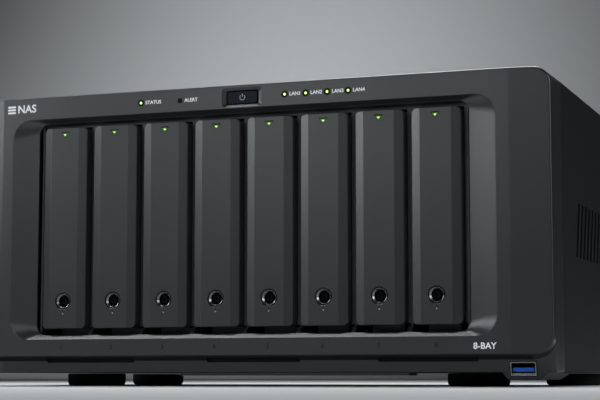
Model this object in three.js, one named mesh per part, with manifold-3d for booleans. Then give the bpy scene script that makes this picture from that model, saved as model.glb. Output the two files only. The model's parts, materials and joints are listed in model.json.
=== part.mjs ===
// Eight-bay network storage enclosure, in millimetres.
// +Z is up, the drive bays face -Y, +X is to the right seen from the front.
// The origin is on the floor, under the middle of the case.
import * as THREE from "three";
import { mergeVertices } from "three/addons/utils/BufferGeometryUtils.js";
import Module from "manifold-3d";

const wasm = await Module();
wasm.setup();

// ---------------------------------------------------------------- driving dimensions

const WIDTH = 343;
const DEPTH = 243;
const HEIGHT = 166;
const FRONT = -DEPTH / 2;
const REAR = DEPTH / 2;
const GAP = 0.3; // clearance between pieces that touch

const BAYS = 8;
const BAY_PITCH = 31.4;

const BASE_Z = 7.4; // underside of the case, on its feet
const BEZEL_DEPTH = 47;
const SEAM = FRONT + BEZEL_DEPTH;
const CASE_HALF = 167.9; // half width of the sheet metal cover
const SHEET = 1.2;
const PAN_TOP = BASE_Z + 1.6;

const FACE_BOTTOM = 16.7; // lower edge of the bezel's front face
const STRIP_TOP = 13.9; // upper edge of the strip set back under it
const STRIP_SETBACK = 4.5;
const FACE_HALF = 150; // half width of the flat middle of the face
const FACE_CORNER = 9;
const PLATE = 6; // thickness of the bezel's front plate

const RECESS_OUTER = { half: 142.9, bottom: 26.2, top: 152.9, radius: 12 };
const RECESS_INNER = { half: 127.7, bottom: 28.7, top: 150.5, radius: 6 };
const RECESS_DEPTH = 4;

const HANDLE = { half: 13.55, flatHalf: 8.55, bottom: 32.4, top: 147.6, radius: 3 };
const HANDLE_FRONT = FRONT + 1.5;
const HANDLE_BACK = HANDLE_FRONT + 7;
const HANDLE_BEVEL = 1.4;
const HANDLE_SHELL = 3;
const PIVOT_Y = HANDLE_FRONT + 4.8;
const PIVOT_Z = HANDLE.top - 3.4;
const PIN_RADIUS = 1;
const EAR_X = 7;
const EAR_WIDTH = 2.6;
const EAR_RADIUS = 2.6;
const EAR_BORE = 1.35;

const LOCK_Z = 48;
const LOCK_RADIUS = 4.5;
const LOCK_CAM = 9;

const TRAY_FRONT = HANDLE_BACK + GAP;
const TRAY_WALL = 6.7;
const TRAY_HALF = 12.9;
const TRAY_BOTTOM = 33;
const TRAY_TOP = 147;
const RAIL_LENGTH = 146;

const DRIVE = { thick: 26.1, length: 147, wide: 101.6 };
const DRIVE_FRONT = TRAY_FRONT + TRAY_WALL + GAP;
const DRIVE_BACK = DRIVE_FRONT + DRIVE.length;
const DRIVE_BOTTOM = (TRAY_BOTTOM + TRAY_TOP - DRIVE.wide) / 2;

const CAGE = { half: 126.8, floor: 27.2, ceiling: 152.7 };
const CAGE_FRONT = FRONT + PLATE + 0.5;
const CAGE_BACK = DRIVE_BACK + 2.5;
const BACKPLANE_FRONT = DRIVE_BACK + 4;

const PANEL_FRONT = REAR - 3.5;
const PANEL_BACK = REAR - 2;
const FAN = { size: 120, depth: 25, bore: 58, hub: 19, x: 62.5, z: 102.5 };
const FAN_BACK = PANEL_FRONT - 1.5;
const FAN_FRONT = FAN_BACK - FAN.depth;

const BOARD_Z = 12.5;
const BOARD_THICK = 1.6;
const PORT_Z = BOARD_Z + BOARD_THICK + GAP;
const PORT_FACE = PANEL_BACK + 0.8;

const PSU = { left: -165.5, right: -128.5, bottom: 60, top: 142, length: 150 };
const PSU_BACK = PANEL_FRONT - 0.5;
const PSU_FAN = { x: -147, z: 118, bore: 17.5, depth: 15 };
const INLET = { x: -147, z: 76, width: 27, height: 20, depth: 16 };

const BUTTON = { half: 9, bottom: 155.2, top: 162.4, setback: 1 };
const USB = { left: 147.8, right: 161.2, bottom: 5.7, top: 12.8, depth: 16 };
const AIR_SLOTS = { places: [-93.4, 5.3, 104], half: 27.3, drop: 0.8, rise: 1.7 };
const SIDE_VENTS = { count: 9, start: FRONT + 84, pitch: 10.5, wide: 5, lean: 9, bottom: 72, top: 103 };
const FOOT_RADIUS = 17.2;
const FEET = {
  foot_front_left: [-117.5, FRONT + 60],
  foot_front_right: [117.5, FRONT + 60],
  foot_rear_left: [-143, FRONT + 201],
  foot_rear_right: [143, FRONT + 201],
};

// ---------------------------------------------------------------- materials

const material = (color, roughness, metalness) =>
  new THREE.MeshStandardMaterial({ color, roughness, metalness });

const MATERIALS = {
  shell: material(0x35383d, 0.5, 0.1),
  cover: material(0x26282c, 0.45, 0.4),
  handle: material(0x3a3d42, 0.45, 0.1),
  carrier: material(0x1c1d1f, 0.6, 0),
  steel: material(0x9a9da1, 0.4, 0.9),
  cage: material(0x6f7276, 0.45, 0.8),
  lock: material(0x17181a, 0.3, 0.2),
  drive: material(0xa9adb1, 0.35, 0.8),
  gloss: material(0x0d1118, 0.1, 0.1),
  circuit: material(0x1d4a33, 0.5, 0.1),
  blue: material(0x1f5fd0, 0.4, 0),
  fan: material(0x16171a, 0.5, 0),
  socket: material(0x131415, 0.5, 0),
  rubber: material(0x141414, 0.9, 0),
};

// ---------------------------------------------------------------- solids

// A closed three.js geometry as a solid that can be cut and joined.
function solid(geometry) {
  const bare = geometry.index ? geometry.toNonIndexed() : geometry.clone();
  bare.deleteAttribute("normal");
  bare.deleteAttribute("uv");
  const merged = mergeVertices(bare, 1e-4);
  return new wasm.Manifold(
    new wasm.Mesh({
      numProp: 3,
      vertProperties: merged.attributes.position.array,
      triVerts: new Uint32Array(merged.index.array),
    }),
  );
}

function meshOf(name, body, look) {
  const made = body.getMesh();
  const geometry = new THREE.BufferGeometry();
  geometry.setAttribute("position", new THREE.BufferAttribute(made.vertProperties, 3));
  geometry.setIndex(new THREE.BufferAttribute(made.triVerts, 1));
  geometry.computeVertexNormals();
  const mesh = new THREE.Mesh(geometry, look);
  mesh.name = name;
  return mesh;
}

const join = (bodies) => bodies.reduce((sum, body) => sum.add(body));
const cut = (body, tools) => tools.reduce((rest, tool) => rest.subtract(tool), body);

function box([x0, x1], [y0, y1], [z0, z1]) {
  const geometry = new THREE.BoxGeometry(x1 - x0, y1 - y0, z1 - z0);
  return solid(geometry.translate((x0 + x1) / 2, (y0 + y1) / 2, (z0 + z1) / 2));
}

// Evenly spaced points along an arc, ends included.
function arc(x, y, radius, from, to, steps) {
  return Array.from({ length: steps + 1 }, (_, i) => {
    const angle = from + ((to - from) * i) / steps;
    return new THREE.Vector2(x + radius * Math.cos(angle), y + radius * Math.sin(angle));
  });
}

// A rounded rectangle, counter-clockwise; bottom corners may differ from top ones.
function roundedRect(half, bottom, top, topRadius, bottomRadius = topRadius, centre = 0, steps = 4) {
  const quarter = Math.PI / 2;
  const corners = [
    [centre + half - bottomRadius, bottom + bottomRadius, bottomRadius],
    [centre + half - topRadius, top - topRadius, topRadius],
    [centre - half + topRadius, top - topRadius, topRadius],
    [centre - half + bottomRadius, bottom + bottomRadius, bottomRadius],
  ];
  return corners.flatMap(([x, y, radius], i) =>
    arc(x, y, radius, (i - 1) * quarter, i * quarter, steps),
  );
}

const points = (list) => list.map(([x, y]) => new THREE.Vector2(x, y));

function extruded(outline, length) {
  return new THREE.ExtrudeGeometry(new THREE.Shape(outline), { depth: length, bevelEnabled: false });
}

// Outline in X and Y, raised from z0 to z1.
const prismZ = (outline, z0, z1) => solid(extruded(outline, z1 - z0).translate(0, 0, z0));

// Outline in X and Z, running from y0 to y1.
const prismY = (outline, y0, y1) =>
  solid(extruded(outline, y1 - y0).rotateX(Math.PI / 2).translate(0, y1, 0));

// Outline in Y and Z, running from x0 to x1.
function prismX(outline, x0, x1) {
  const turn = new THREE.Matrix4().makeBasis(
    new THREE.Vector3(0, 1, 0),
    new THREE.Vector3(0, 0, 1),
    new THREE.Vector3(1, 0, 0),
  );
  return solid(extruded(outline, x1 - x0).applyMatrix4(turn).translate(x0, 0, 0));
}

// The solid between two convex outlines in X and Z with the same number of points.
function loft(front, y0, back, y1) {
  const count = front.length;
  const ring = (outline, y) => outline.flatMap((p) => [p.x, y, p.y]);
  const faces = [];
  for (let i = 0; i < count; i += 1) {
    const next = (i + 1) % count;
    faces.push(next, i, count + i);
    faces.push(next, count + i, count + next);
    if (i > 0 && next > 0) {
      faces.push(0, i, next);
      faces.push(count, count + next, count + i);
    }
  }
  const geometry = new THREE.BufferGeometry();
  const corners = new Float32Array([...ring(front, y0), ...ring(back, y1)]);
  geometry.setAttribute("position", new THREE.BufferAttribute(corners, 3));
  geometry.setIndex(faces);
  return solid(geometry);
}

function cylinderY(radius, y0, y1, x = 0, z = 0, sides = 24) {
  const geometry = new THREE.CylinderGeometry(radius, radius, y1 - y0, sides);
  return solid(geometry.translate(x, (y0 + y1) / 2, z));
}

function cylinderX(radius, x0, x1, y, z, sides = 10) {
  const geometry = new THREE.CylinderGeometry(radius, radius, x1 - x0, sides);
  return solid(geometry.rotateZ(Math.PI / 2).translate((x0 + x1) / 2, y, z));
}

// Horizontal slots that fill a round area of a panel.
function roundSlots(x, z, radius, pitch, slot) {
  const rows = Math.floor(radius / pitch);
  const tools = [];
  for (let row = -rows; row <= rows; row += 1) {
    const height = row * pitch;
    const reach = Math.sqrt(radius ** 2 - (Math.abs(height) + slot / 2) ** 2);
    if (reach > slot) {
      const across = [x - reach, x + reach];
      const up = [z + height - slot / 2, z + height + slot / 2];
      tools.push(box(across, [PANEL_FRONT - 1, PANEL_BACK + 1], up));
    }
  }
  return tools;
}

// ---------------------------------------------------------------- front bezel

// Seen from above: a flat middle, wings that slope back, and sides that taper to the seam.
function bezelPlan() {
  const half = WIDTH / 2;
  const right = [
    [CASE_HALF, SEAM],
    [half, FRONT + 5.8],
    [half - 0.4, FRONT + 4.2],
    [half - 1.6, FRONT + 3.1],
    [FACE_HALF, FRONT],
  ];
  const left = right.map(([x, y]) => [-x, y]).reverse();
  return points([...right, ...left]).reverse();
}

function trayRecess() {
  const forward = 1;
  const grow = 1 + forward / RECESS_DEPTH;
  const widened = (key) => RECESS_INNER[key] + (RECESS_OUTER[key] - RECESS_INNER[key]) * grow;
  const outer = roundedRect(widened("half"), widened("bottom"), widened("top"), widened("radius"));
  const inner = roundedRect(
    RECESS_INNER.half,
    RECESS_INNER.bottom,
    RECESS_INNER.top,
    RECESS_INNER.radius,
  );
  const funnel = loft(outer, FRONT - forward, inner, FRONT + RECESS_DEPTH);
  return funnel.add(prismY(inner, FRONT + RECESS_DEPTH - 0.5, FRONT + PLATE + 1));
}

function buttonPocket() {
  const clearance = 0.35;
  const rim = 3;
  const inner = roundedRect(
    BUTTON.half + clearance,
    BUTTON.bottom - clearance,
    BUTTON.top + clearance,
    1.2,
  );
  const outer = roundedRect(BUTTON.half + rim, BUTTON.bottom - 1.8, BUTTON.top + 1.8, 2);
  const funnel = loft(outer, FRONT - 0.2, inner, FRONT + 1.8);
  return funnel.add(prismY(inner, FRONT + 1.5, FRONT + PLATE + 1));
}

// The tab under the case's right corner that holds the front USB port.
function usbTab() {
  const front = FRONT + STRIP_SETBACK;
  const section = points([
    [146.2, 3.7],
    [162.4, 3.7],
    [167, BASE_Z - GAP],
    [143, BASE_Z - GAP],
  ]);
  const runner = prismY(section, front, FRONT + 68);
  const behind = points([
    [FRONT + 63, 3],
    [FRONT + 70, 3],
    [FRONT + 70, BASE_Z + 1],
    [FRONT + 67.5, BASE_Z + 1],
  ]);
  const neck = box([144, 166], [front, SEAM], [BASE_Z - 1, BASE_Z + 1]);
  return cut(runner, [prismX(behind, 140, 170)]).add(neck);
}

function frontBezel() {
  const half = WIDTH / 2;
  const strip = FRONT + STRIP_SETBACK;
  const face = loft(
    roundedRect(half, FACE_BOTTOM, HEIGHT, FACE_CORNER),
    FRONT,
    roundedRect(half, STRIP_TOP, HEIGHT, FACE_CORNER, FACE_CORNER + 2),
    strip + 0.5,
  );
  const shell = loft(
    roundedRect(half, BASE_Z, HEIGHT, FACE_CORNER, 1),
    strip,
    roundedRect(CASE_HALF, BASE_Z, HEIGHT, 2.5, 1),
    SEAM,
  );
  const hollow = loft(
    roundedRect(half - 3, BASE_Z + 2.5, HEIGHT - 2.6, FACE_CORNER - 2, 1),
    FRONT + PLATE,
    roundedRect(CASE_HALF - 2.5, BASE_Z + 2.5, HEIGHT - 2.6, 1.5, 1),
    SEAM + 0.5,
  );
  const outside = face.add(shell).intersect(prismZ(bezelPlan(), 0, HEIGHT + 1));

  const ramps = [];
  for (let i = 1; i < BAYS; i += 1) {
    const x = (i - BAYS / 2) * BAY_PITCH;
    const root = FRONT + PLATE + 0.2;
    const side = points([
      [FRONT + RECESS_DEPTH + 0.2, RECESS_INNER.bottom - 0.4],
      [root, RECESS_INNER.bottom - 0.4],
      [root, RECESS_INNER.bottom],
      [FRONT + 9, RECESS_INNER.bottom],
      [FRONT + 9, HANDLE.bottom - 0.2],
    ]);
    ramps.push(prismX(side, x - 1.4, x + 1.4));
  }
  const lip = box([-39, 93], [strip + 0.5, strip + 18], [BASE_Z - 1.5, BASE_Z + 1]);

  const { places, half: reach, drop, rise } = AIR_SLOTS;
  const slots = places.map((x) =>
    box([x - reach, x + reach], [FRONT - 1, FRONT + PLATE + 1], [STRIP_TOP - drop, STRIP_TOP + rise]),
  );
  const port = box(
    [USB.left - GAP, USB.right + GAP],
    [strip - 1, strip + USB.depth + 1],
    [USB.bottom - GAP, USB.top + GAP],
  );
  const shelled = cut(outside, [hollow, trayRecess(), buttonPocket(), ...slots]);
  return cut(join([shelled, ...ramps, lip, usbTab()]), [port]);
}

// ---------------------------------------------------------------- case

function topCover() {
  const front = SEAM + GAP;
  const across = (inset) => [-CASE_HALF + inset, CASE_HALF - inset];
  const outside = prismY(roundedRect(CASE_HALF, BASE_Z, HEIGHT, 2.5, 0.2, 0, 3), front, REAR);
  const inside = box(across(SHEET), [front - 1, REAR + 1], [0, HEIGHT - SHEET]);
  const vents = [];
  const { count, start, pitch, wide, lean, bottom, top } = SIDE_VENTS;
  for (let i = 0; i < count; i += 1) {
    const y = start + i * pitch;
    const slant = points([
      [y, bottom],
      [y + wide, bottom],
      [y + wide + lean, top],
      [y + lean, top],
    ]);
    vents.push(prismX(slant, -CASE_HALF - 1, CASE_HALF + 1));
  }
  return cut(outside, [inside, ...vents]);
}

function basePan() {
  const half = CASE_HALF - SHEET - GAP;
  const along = [SEAM + GAP, PANEL_FRONT - GAP];
  const floor = box([-half, half], along, [BASE_Z, PAN_TOP]);
  const flanges = [-1, 1].map((side) => {
    const edges = [side * half, side * (half - SHEET)].sort((a, b) => a - b);
    return box(edges, along, [BASE_Z, 22]);
  });
  const slots = [];
  for (let i = -3; i <= 3; i += 1) {
    slots.push(box([i * 26 - 9, i * 26 + 9], [-20, -16], [0, 20]));
    slots.push(box([i * 26 - 9, i * 26 + 9], [-10, -6], [0, 20]));
  }
  return cut(join([floor, ...flanges]), slots);
}

// Rear ports: name, middle in X, width and height of the hole in the panel.
const LAN = { x: -30, width: 63.6, height: 13.5 };
const USB_REAR = { x: 24, width: 15, height: 15.6 };
const ESATA = { x: 50, width: 30, height: 7 };
const RESET = { x: 78, z: 21, radius: 1.2 };
const SLOT_COVER = { x: 147, bottom: 68, top: 150 };

function rearPanel() {
  const half = CASE_HALF - SHEET - GAP;
  const through = [PANEL_FRONT - 1, PANEL_BACK + 1];
  const sheet = box([-half, half], [PANEL_FRONT, PANEL_BACK], [PAN_TOP + GAP, HEIGHT - SHEET - GAP]);
  const holes = [LAN, USB_REAR, ESATA].map(({ x, width, height }) => {
    const side = width / 2 + GAP;
    return box([x - side, x + side], through, [PORT_Z - GAP, PORT_Z + height + GAP]);
  });
  const inletSide = INLET.width / 2 + GAP;
  const inletRise = INLET.height / 2 + GAP;
  holes.push(
    box([INLET.x - inletSide, INLET.x + inletSide], through, [INLET.z - inletRise, INLET.z + inletRise]),
    box([SLOT_COVER.x - 6.5, SLOT_COVER.x + 6.5], through, [SLOT_COVER.bottom + 4, SLOT_COVER.top - 6]),
    box([97, 104], through, [19, 22]),
    cylinderY(RESET.radius + GAP, ...through, RESET.x, RESET.z, 10),
    ...roundSlots(-FAN.x, FAN.z, 54, 9, 6),
    ...roundSlots(FAN.x, FAN.z, 54, 9, 6),
    ...roundSlots(PSU_FAN.x, PSU_FAN.z, 17, 6, 4),
  );
  return cut(sheet, holes);
}

function slotCover() {
  const plate = box(
    [SLOT_COVER.x - 9, SLOT_COVER.x + 9],
    [PANEL_BACK + GAP, PANEL_BACK + 1.3],
    [SLOT_COVER.bottom, SLOT_COVER.top],
  );
  const vents = [0, 1, 2, 3, 4, 5].map((i) => {
    const z = SLOT_COVER.bottom + 10 + i * 11;
    return box([SLOT_COVER.x - 4, SLOT_COVER.x + 4], [PANEL_BACK, REAR], [z, z + 7]);
  });
  return cut(plate, vents);
}

// Side plates, dividers between the bays, floor, ceiling and a guide above and below each tray.
function driveCage() {
  const wall = 1.2;
  const along = [CAGE_FRONT, CAGE_BACK];
  const pieces = [
    box([-CAGE.half, CAGE.half], along, [CAGE.floor, CAGE.floor + wall]),
    box([-CAGE.half, CAGE.half], along, [CAGE.ceiling - wall, CAGE.ceiling]),
    box([-CAGE.half, -CAGE.half + wall], along, [PAN_TOP + GAP + 1, CAGE.ceiling]),
    box([CAGE.half - wall, CAGE.half], along, [PAN_TOP + GAP + 1, CAGE.ceiling]),
  ];
  for (let i = 1; i < BAYS; i += 1) {
    const x = (i - BAYS / 2) * BAY_PITCH;
    pieces.push(box([x - wall / 2, x + wall / 2], [FRONT + 10, CAGE_BACK], [CAGE.floor, CAGE.ceiling]));
  }
  for (let i = 0; i < BAYS; i += 1) {
    const x = bayX(i);
    const guide = [CAGE_FRONT + 12, CAGE_BACK];
    pieces.push(box([x - 9, x + 9], guide, [CAGE.floor, TRAY_BOTTOM - 0.4]));
    pieces.push(box([x - 9, x + 9], guide, [TRAY_TOP + 0.4, CAGE.ceiling]));
  }
  return join(pieces);
}

function foot() {
  const height = BASE_Z - GAP;
  const profile = points([
    [0, 0],
    [FOOT_RADIUS - 2.2, 0],
    [FOOT_RADIUS - 0.6, 0.8],
    [FOOT_RADIUS, 2.4],
    [FOOT_RADIUS, height],
    [0, height],
  ]);
  return solid(new THREE.LatheGeometry(profile, 24).rotateX(Math.PI / 2));
}

// ---------------------------------------------------------------- one bay, about X = 0

const bayX = (i) => (i - (BAYS - 1) / 2) * BAY_PITCH;

// Front lever of a tray: bevelled along both sides, hollow behind, on a pin near its top edge.
function handle() {
  const { half, flatHalf, bottom, top, radius } = HANDLE;
  const plan = points([
    [half, HANDLE_BACK],
    [-half, HANDLE_BACK],
    [-half, HANDLE_FRONT + HANDLE_BEVEL],
    [-flatHalf, HANDLE_FRONT],
    [flatHalf, HANDLE_FRONT],
    [half, HANDLE_FRONT + HANDLE_BEVEL],
  ]);
  const block = prismZ(plan, bottom, top).intersect(
    prismY(roundedRect(half, bottom, top, radius, radius, 0, 3), HANDLE_FRONT - 1, HANDLE_BACK + 1),
  );
  const hollow = box(
    [HANDLE_SHELL - half, half - HANDLE_SHELL],
    [HANDLE_FRONT + HANDLE_SHELL, HANDLE_BACK + 1],
    [LOCK_Z - LOCK_CAM - 2, PIVOT_Z - 8],
  );
  const notches = [-EAR_X, EAR_X].map((x) => {
    const side = EAR_WIDTH / 2 + GAP;
    const reach = EAR_RADIUS + 0.4;
    return box([x - side, x + side], [PIVOT_Y - reach, HANDLE_BACK + 1], [PIVOT_Z - reach, top + 1]);
  });
  const bore = cylinderY(LOCK_RADIUS + GAP, HANDLE_FRONT - 1, HANDLE_BACK, 0, LOCK_Z, 16);
  const pin = cylinderX(PIN_RADIUS, -EAR_X - 3, EAR_X + 3, PIVOT_Y, PIVOT_Z, 8);
  return cut(block, [hollow, ...notches, bore]).add(pin);
}

// Key lock in the handle, with a cam behind it that points down when closed.
function lock() {
  const front = HANDLE_FRONT + 0.2;
  const back = HANDLE_FRONT + 4.6;
  const barrel = cylinderY(LOCK_RADIUS, front, back, 0, LOCK_Z, 16);
  const cam = box([-1.5, 1.5], [HANDLE_FRONT + HANDLE_SHELL + 0.6, back + 1.6], [LOCK_Z - LOCK_CAM, LOCK_Z]);
  const mouth = cylinderY(3.1, front - 1, front + 1.4, 0, LOCK_Z, 12);
  const keyway = box([-0.5, 0.5], [front, front + 3], [LOCK_Z - 1.9, LOCK_Z + 1.9]);
  return cut(barrel.add(cam), [mouth, keyway]);
}

// Tray: a front wall with two air windows, a rail below and above the drive, and two pivot ears.
function tray() {
  const wallBack = TRAY_FRONT + TRAY_WALL;
  const upper = PIVOT_Z - 4.6;
  const railBack = wallBack + RAIL_LENGTH;
  const across = [-TRAY_HALF, TRAY_HALF];
  const pieces = [
    box(across, [TRAY_FRONT, wallBack], [TRAY_BOTTOM, upper]),
    box(across, [TRAY_FRONT + 2.6, wallBack], [TRAY_BOTTOM, TRAY_TOP]),
    box(across, [TRAY_FRONT + 3, railBack], [TRAY_BOTTOM, DRIVE_BOTTOM - GAP]),
    box(across, [TRAY_FRONT + 3, railBack], [DRIVE_BOTTOM + DRIVE.wide + GAP, TRAY_TOP]),
  ];
  for (const x of [-EAR_X, EAR_X]) {
    const sides = [x - EAR_WIDTH / 2, x + EAR_WIDTH / 2];
    pieces.push(cylinderX(EAR_RADIUS, ...sides, PIVOT_Y, PIVOT_Z, 8));
    pieces.push(box(sides, [PIVOT_Y, wallBack - 1], [PIVOT_Z - 1.3, PIVOT_Z + 1.3]));
  }
  const tools = [
    cylinderX(EAR_BORE, -EAR_X - 3, EAR_X + 3, PIVOT_Y, PIVOT_Z, 8),
    box([-8, 8], [TRAY_FRONT - 1, wallBack + 1], [62, 92]),
    box([-8, 8], [TRAY_FRONT - 1, wallBack + 1], [98, 130]),
  ];
  return cut(join(pieces), tools);
}

// Hard drive on edge: a cast base with a stepped lid and a connector recess at the back.
function drive() {
  const left = -DRIVE.thick / 2;
  const lid = -left - 1.6;
  const top = DRIVE_BOTTOM + DRIVE.wide;
  const base = box([left, lid], [DRIVE_FRONT, DRIVE_BACK], [DRIVE_BOTTOM, top]);
  const corners = points([
    [DRIVE_FRONT + 3, DRIVE_BOTTOM + 3],
    [DRIVE_BACK - 22, DRIVE_BOTTOM + 3],
    [DRIVE_BACK - 8, DRIVE_BOTTOM + 17],
    [DRIVE_BACK - 8, top - 17],
    [DRIVE_BACK - 22, top - 3],
    [DRIVE_FRONT + 3, top - 3],
  ]);
  const socket = [DRIVE_BOTTOM + 6, DRIVE_BOTTOM + 50];
  const recess = box([left - 1, left + 8], [DRIVE_BACK - 6, DRIVE_BACK + 1], socket);
  return cut(base.add(prismX(corners, lid - 0.5, -left)), [recess]);
}

// ---------------------------------------------------------------- inside the case

function backplane() {
  const board = box([-124, 124], [BACKPLANE_FRONT, BACKPLANE_FRONT + 1.6], [33, 148]);
  const sockets = [];
  const windows = [];
  for (let i = 0; i < BAYS; i += 1) {
    const x = bayX(i);
    const pad = [x - 11, x - 6];
    sockets.push(box(pad, [DRIVE_BACK - 5, BACKPLANE_FRONT + 1], [DRIVE_BOTTOM + 8, DRIVE_BOTTOM + 48]));
    windows.push(box([x - 7, x + 7], [BACKPLANE_FRONT - 1, BACKPLANE_FRONT + 3], [96, 140]));
  }
  return cut(join([board, ...sockets]), windows);
}

function mainboard() {
  const top = BOARD_Z + BOARD_THICK;
  return join([
    box([-122, 122], [-66, PANEL_FRONT - 1.5], [BOARD_Z, top]),
    box([RESET.x - 4, RESET.x + 4], [PANEL_FRONT - 14, PANEL_FRONT - 7], [top - 0.5, RESET.z + 3]),
    box([90, 116], [20, 60], [top - 0.5, top + 9]),
    box([-110, -86], [-40, 0], [top - 0.5, top + 6]),
  ]);
}

function heatsink() {
  const floor = BOARD_Z + BOARD_THICK + GAP;
  const pieces = [box([-40, 10], [52, 88], [floor, floor + 4])];
  for (let i = 0; i < 9; i += 1) {
    const x = -40 + i * 6;
    pieces.push(box([x, x + 2], [52, 88], [floor, floor + 19]));
  }
  return join(pieces);
}

function memoryModule() {
  const z = BOARD_Z + BOARD_THICK + GAP;
  const pieces = [
    box([20, 87.6], [56, 86], [z + 3, z + 4.2]),
    box([22, 85.6], [54, 60], [z, z + 5.5]),
  ];
  for (let i = 0; i < 4; i += 1) {
    pieces.push(box([26 + i * 15, 36 + i * 15], [66, 80], [z + 4, z + 5.4]));
  }
  return join(pieces);
}

function indicatorBoard() {
  return join([
    box([-70, 70], [FRONT + 14.5, FRONT + 16.1], [154, 163]),
    box([-4, 4], [FRONT + 11, FRONT + 15], [156, 161.6]),
  ]);
}

function powerButton() {
  const { half, bottom, top, setback } = BUTTON;
  const middle = (bottom + top) / 2;
  return join([
    prismY(roundedRect(half, bottom, top, 1), FRONT + setback, FRONT + 4),
    box([-2, 2], [FRONT + 3.5, FRONT + 9.5], [middle - 2, middle + 2]),
  ]);
}

function resetButton() {
  return cylinderY(RESET.radius, PANEL_FRONT - 5.5, PANEL_BACK - 0.5, RESET.x, RESET.z, 10);
}

function fanFrame() {
  const half = FAN.size / 2;
  const ends = [FAN_FRONT, FAN_BACK];
  const block = prismY(roundedRect(half, FAN.z - half, FAN.z + half, 5, 5, 0, 2), ...ends);
  const ring = cut(block, [cylinderY(FAN.bore, FAN_FRONT - 1, FAN_BACK + 1, 0, FAN.z, 32)]);
  const strutEnds = [FAN_BACK - 4, FAN_BACK];
  const motor = cylinderY(FAN.hub, ...strutEnds, 0, FAN.z, 20);
  const reach = FAN.bore + 0.5;
  const struts = [
    box([-2.5, 2.5], strutEnds, [FAN.z - reach, FAN.z + reach]),
    box([-reach, reach], strutEnds, [FAN.z - 2.5, FAN.z + 2.5]),
  ];
  return join([ring, motor, ...struts]);
}

// A hub with slanted flat blades around it, spinning about Y.
function rotor(hubRadius, tipRadius, y0, y1, blades, blade) {
  const pieces = [cylinderY(hubRadius, y0, y1, 0, 0, 20)];
  const length = tipRadius - hubRadius + 2;
  for (let i = 0; i < blades; i += 1) {
    const geometry = new THREE.BoxGeometry(blade.wide, blade.thick, length);
    geometry.rotateZ(blade.pitch);
    geometry.translate(0, (y0 + y1) / 2, tipRadius - length / 2);
    geometry.rotateY((i * 2 * Math.PI) / blades);
    pieces.push(solid(geometry));
  }
  return join(pieces);
}

function psuCase() {
  const { left, right, bottom, top, length } = PSU;
  const block = box([left, right], [PSU_BACK - length, PSU_BACK], [bottom, top]);
  const side = INLET.width / 2 + GAP;
  const rise = INLET.height / 2 + GAP;
  const slots = [0, 1, 2, 3, 4].map((i) => {
    const z = bottom + 18 + i * 10;
    return box([left + 6, right - 6], [PSU_BACK - length - 1, PSU_BACK - length + 8], [z, z + 5]);
  });
  return cut(block, [
    cylinderY(PSU_FAN.bore, PSU_BACK - PSU_FAN.depth, PSU_BACK + 1, PSU_FAN.x, PSU_FAN.z, 20),
    box(
      [INLET.x - side, INLET.x + side],
      [PANEL_BACK + 1 - INLET.depth - GAP, PSU_BACK + 1],
      [INLET.z - rise, INLET.z + rise],
    ),
    ...slots,
  ]);
}

// Mains inlet with three flat pins standing in its hollow.
function powerInlet() {
  const { x, z, width, height, depth } = INLET;
  const face = PANEL_BACK + 1;
  const body = box([x - width / 2, x + width / 2], [face - depth, face], [z - height / 2, z + height / 2]);
  const hollow = prismY(
    points([
      [x - 11.5, z - 7.5],
      [x + 11.5, z - 7.5],
      [x + 11.5, z + 3.5],
      [x + 7.5, z + 7.5],
      [x - 7.5, z + 7.5],
      [x - 11.5, z + 3.5],
    ]),
    face - depth + 2,
    face + 1,
  );
  const pins = [
    [-7, -2.5],
    [0, 2],
    [7, -2.5],
  ].map(([dx, dz]) => box([x + dx - 1, x + dx + 1], [face - depth + 1, face - 6], [z + dz - 2, z + dz + 2]));
  return join([cut(body, [hollow]), ...pins]);
}

// ---------------------------------------------------------------- ports

// A metal port shell open at one end, with a contact tongue; the mouth is at y = 0 facing -Y.
function portShell(width, height, depth, mouth, tongue) {
  const shell = box([-width / 2, width / 2], [0, depth], [0, height]);
  const reach = tongue.half + 0.5;
  const hollows = mouth.map(([z0, z1]) => box([-reach, reach], [-1, depth - 3], [z0, z1]));
  const tongues = mouth.map(([z0]) =>
    box([-tongue.half + 0.3, tongue.half - 0.3], [1.2, depth - 2], [z0 + tongue.low, z0 + tongue.low + 1.9]),
  );
  return join([cut(shell, hollows), ...tongues]);
}

const A_TONGUE = { half: 5.8, low: 0.6 };

function frontUsbPort() {
  const height = USB.top - USB.bottom;
  return portShell(USB.right - USB.left, height, USB.depth, [[1, height - 1]], A_TONGUE);
}

const rearUsbPorts = () =>
  portShell(
    USB_REAR.width,
    USB_REAR.height,
    18,
    [
      [1.2, 6.4],
      [9.2, 14.4],
    ],
    A_TONGUE,
  );

function lanPorts() {
  const { width, height } = LAN;
  const pitch = width / 4;
  const block = box([-width / 2, width / 2], [0, 21], [0, height]);
  const jacks = [0, 1, 2, 3].flatMap((i) => {
    const x = (i - 1.5) * pitch;
    return [
      box([x - 5.9, x + 5.9], [-1, 14], [3.2, 11.6]),
      box([x - 3, x + 3], [-1, 14], [1.4, 4]),
    ];
  });
  return cut(block, jacks);
}

function esataPorts() {
  const block = box([-ESATA.width / 2, ESATA.width / 2], [0, 14], [0, ESATA.height]);
  const jacks = [-7.5, 7.5].map((x) => box([x - 5.5, x + 5.5], [-1, 11], [1.4, 5.6]));
  const tongues = [-7.5, 7.5].map((x) => box([x - 4, x + 4], [1, 12], [3, 4]));
  return join([cut(block, jacks), ...tongues]);
}

// ---------------------------------------------------------------- assembly

const enclosure = new THREE.Group();
enclosure.name = "nas_enclosure";

function place(mesh, x = 0, y = 0, z = 0, turn = 0) {
  mesh.position.set(x, y, z);
  mesh.rotation.z = turn;
  enclosure.add(mesh);
}

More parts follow.
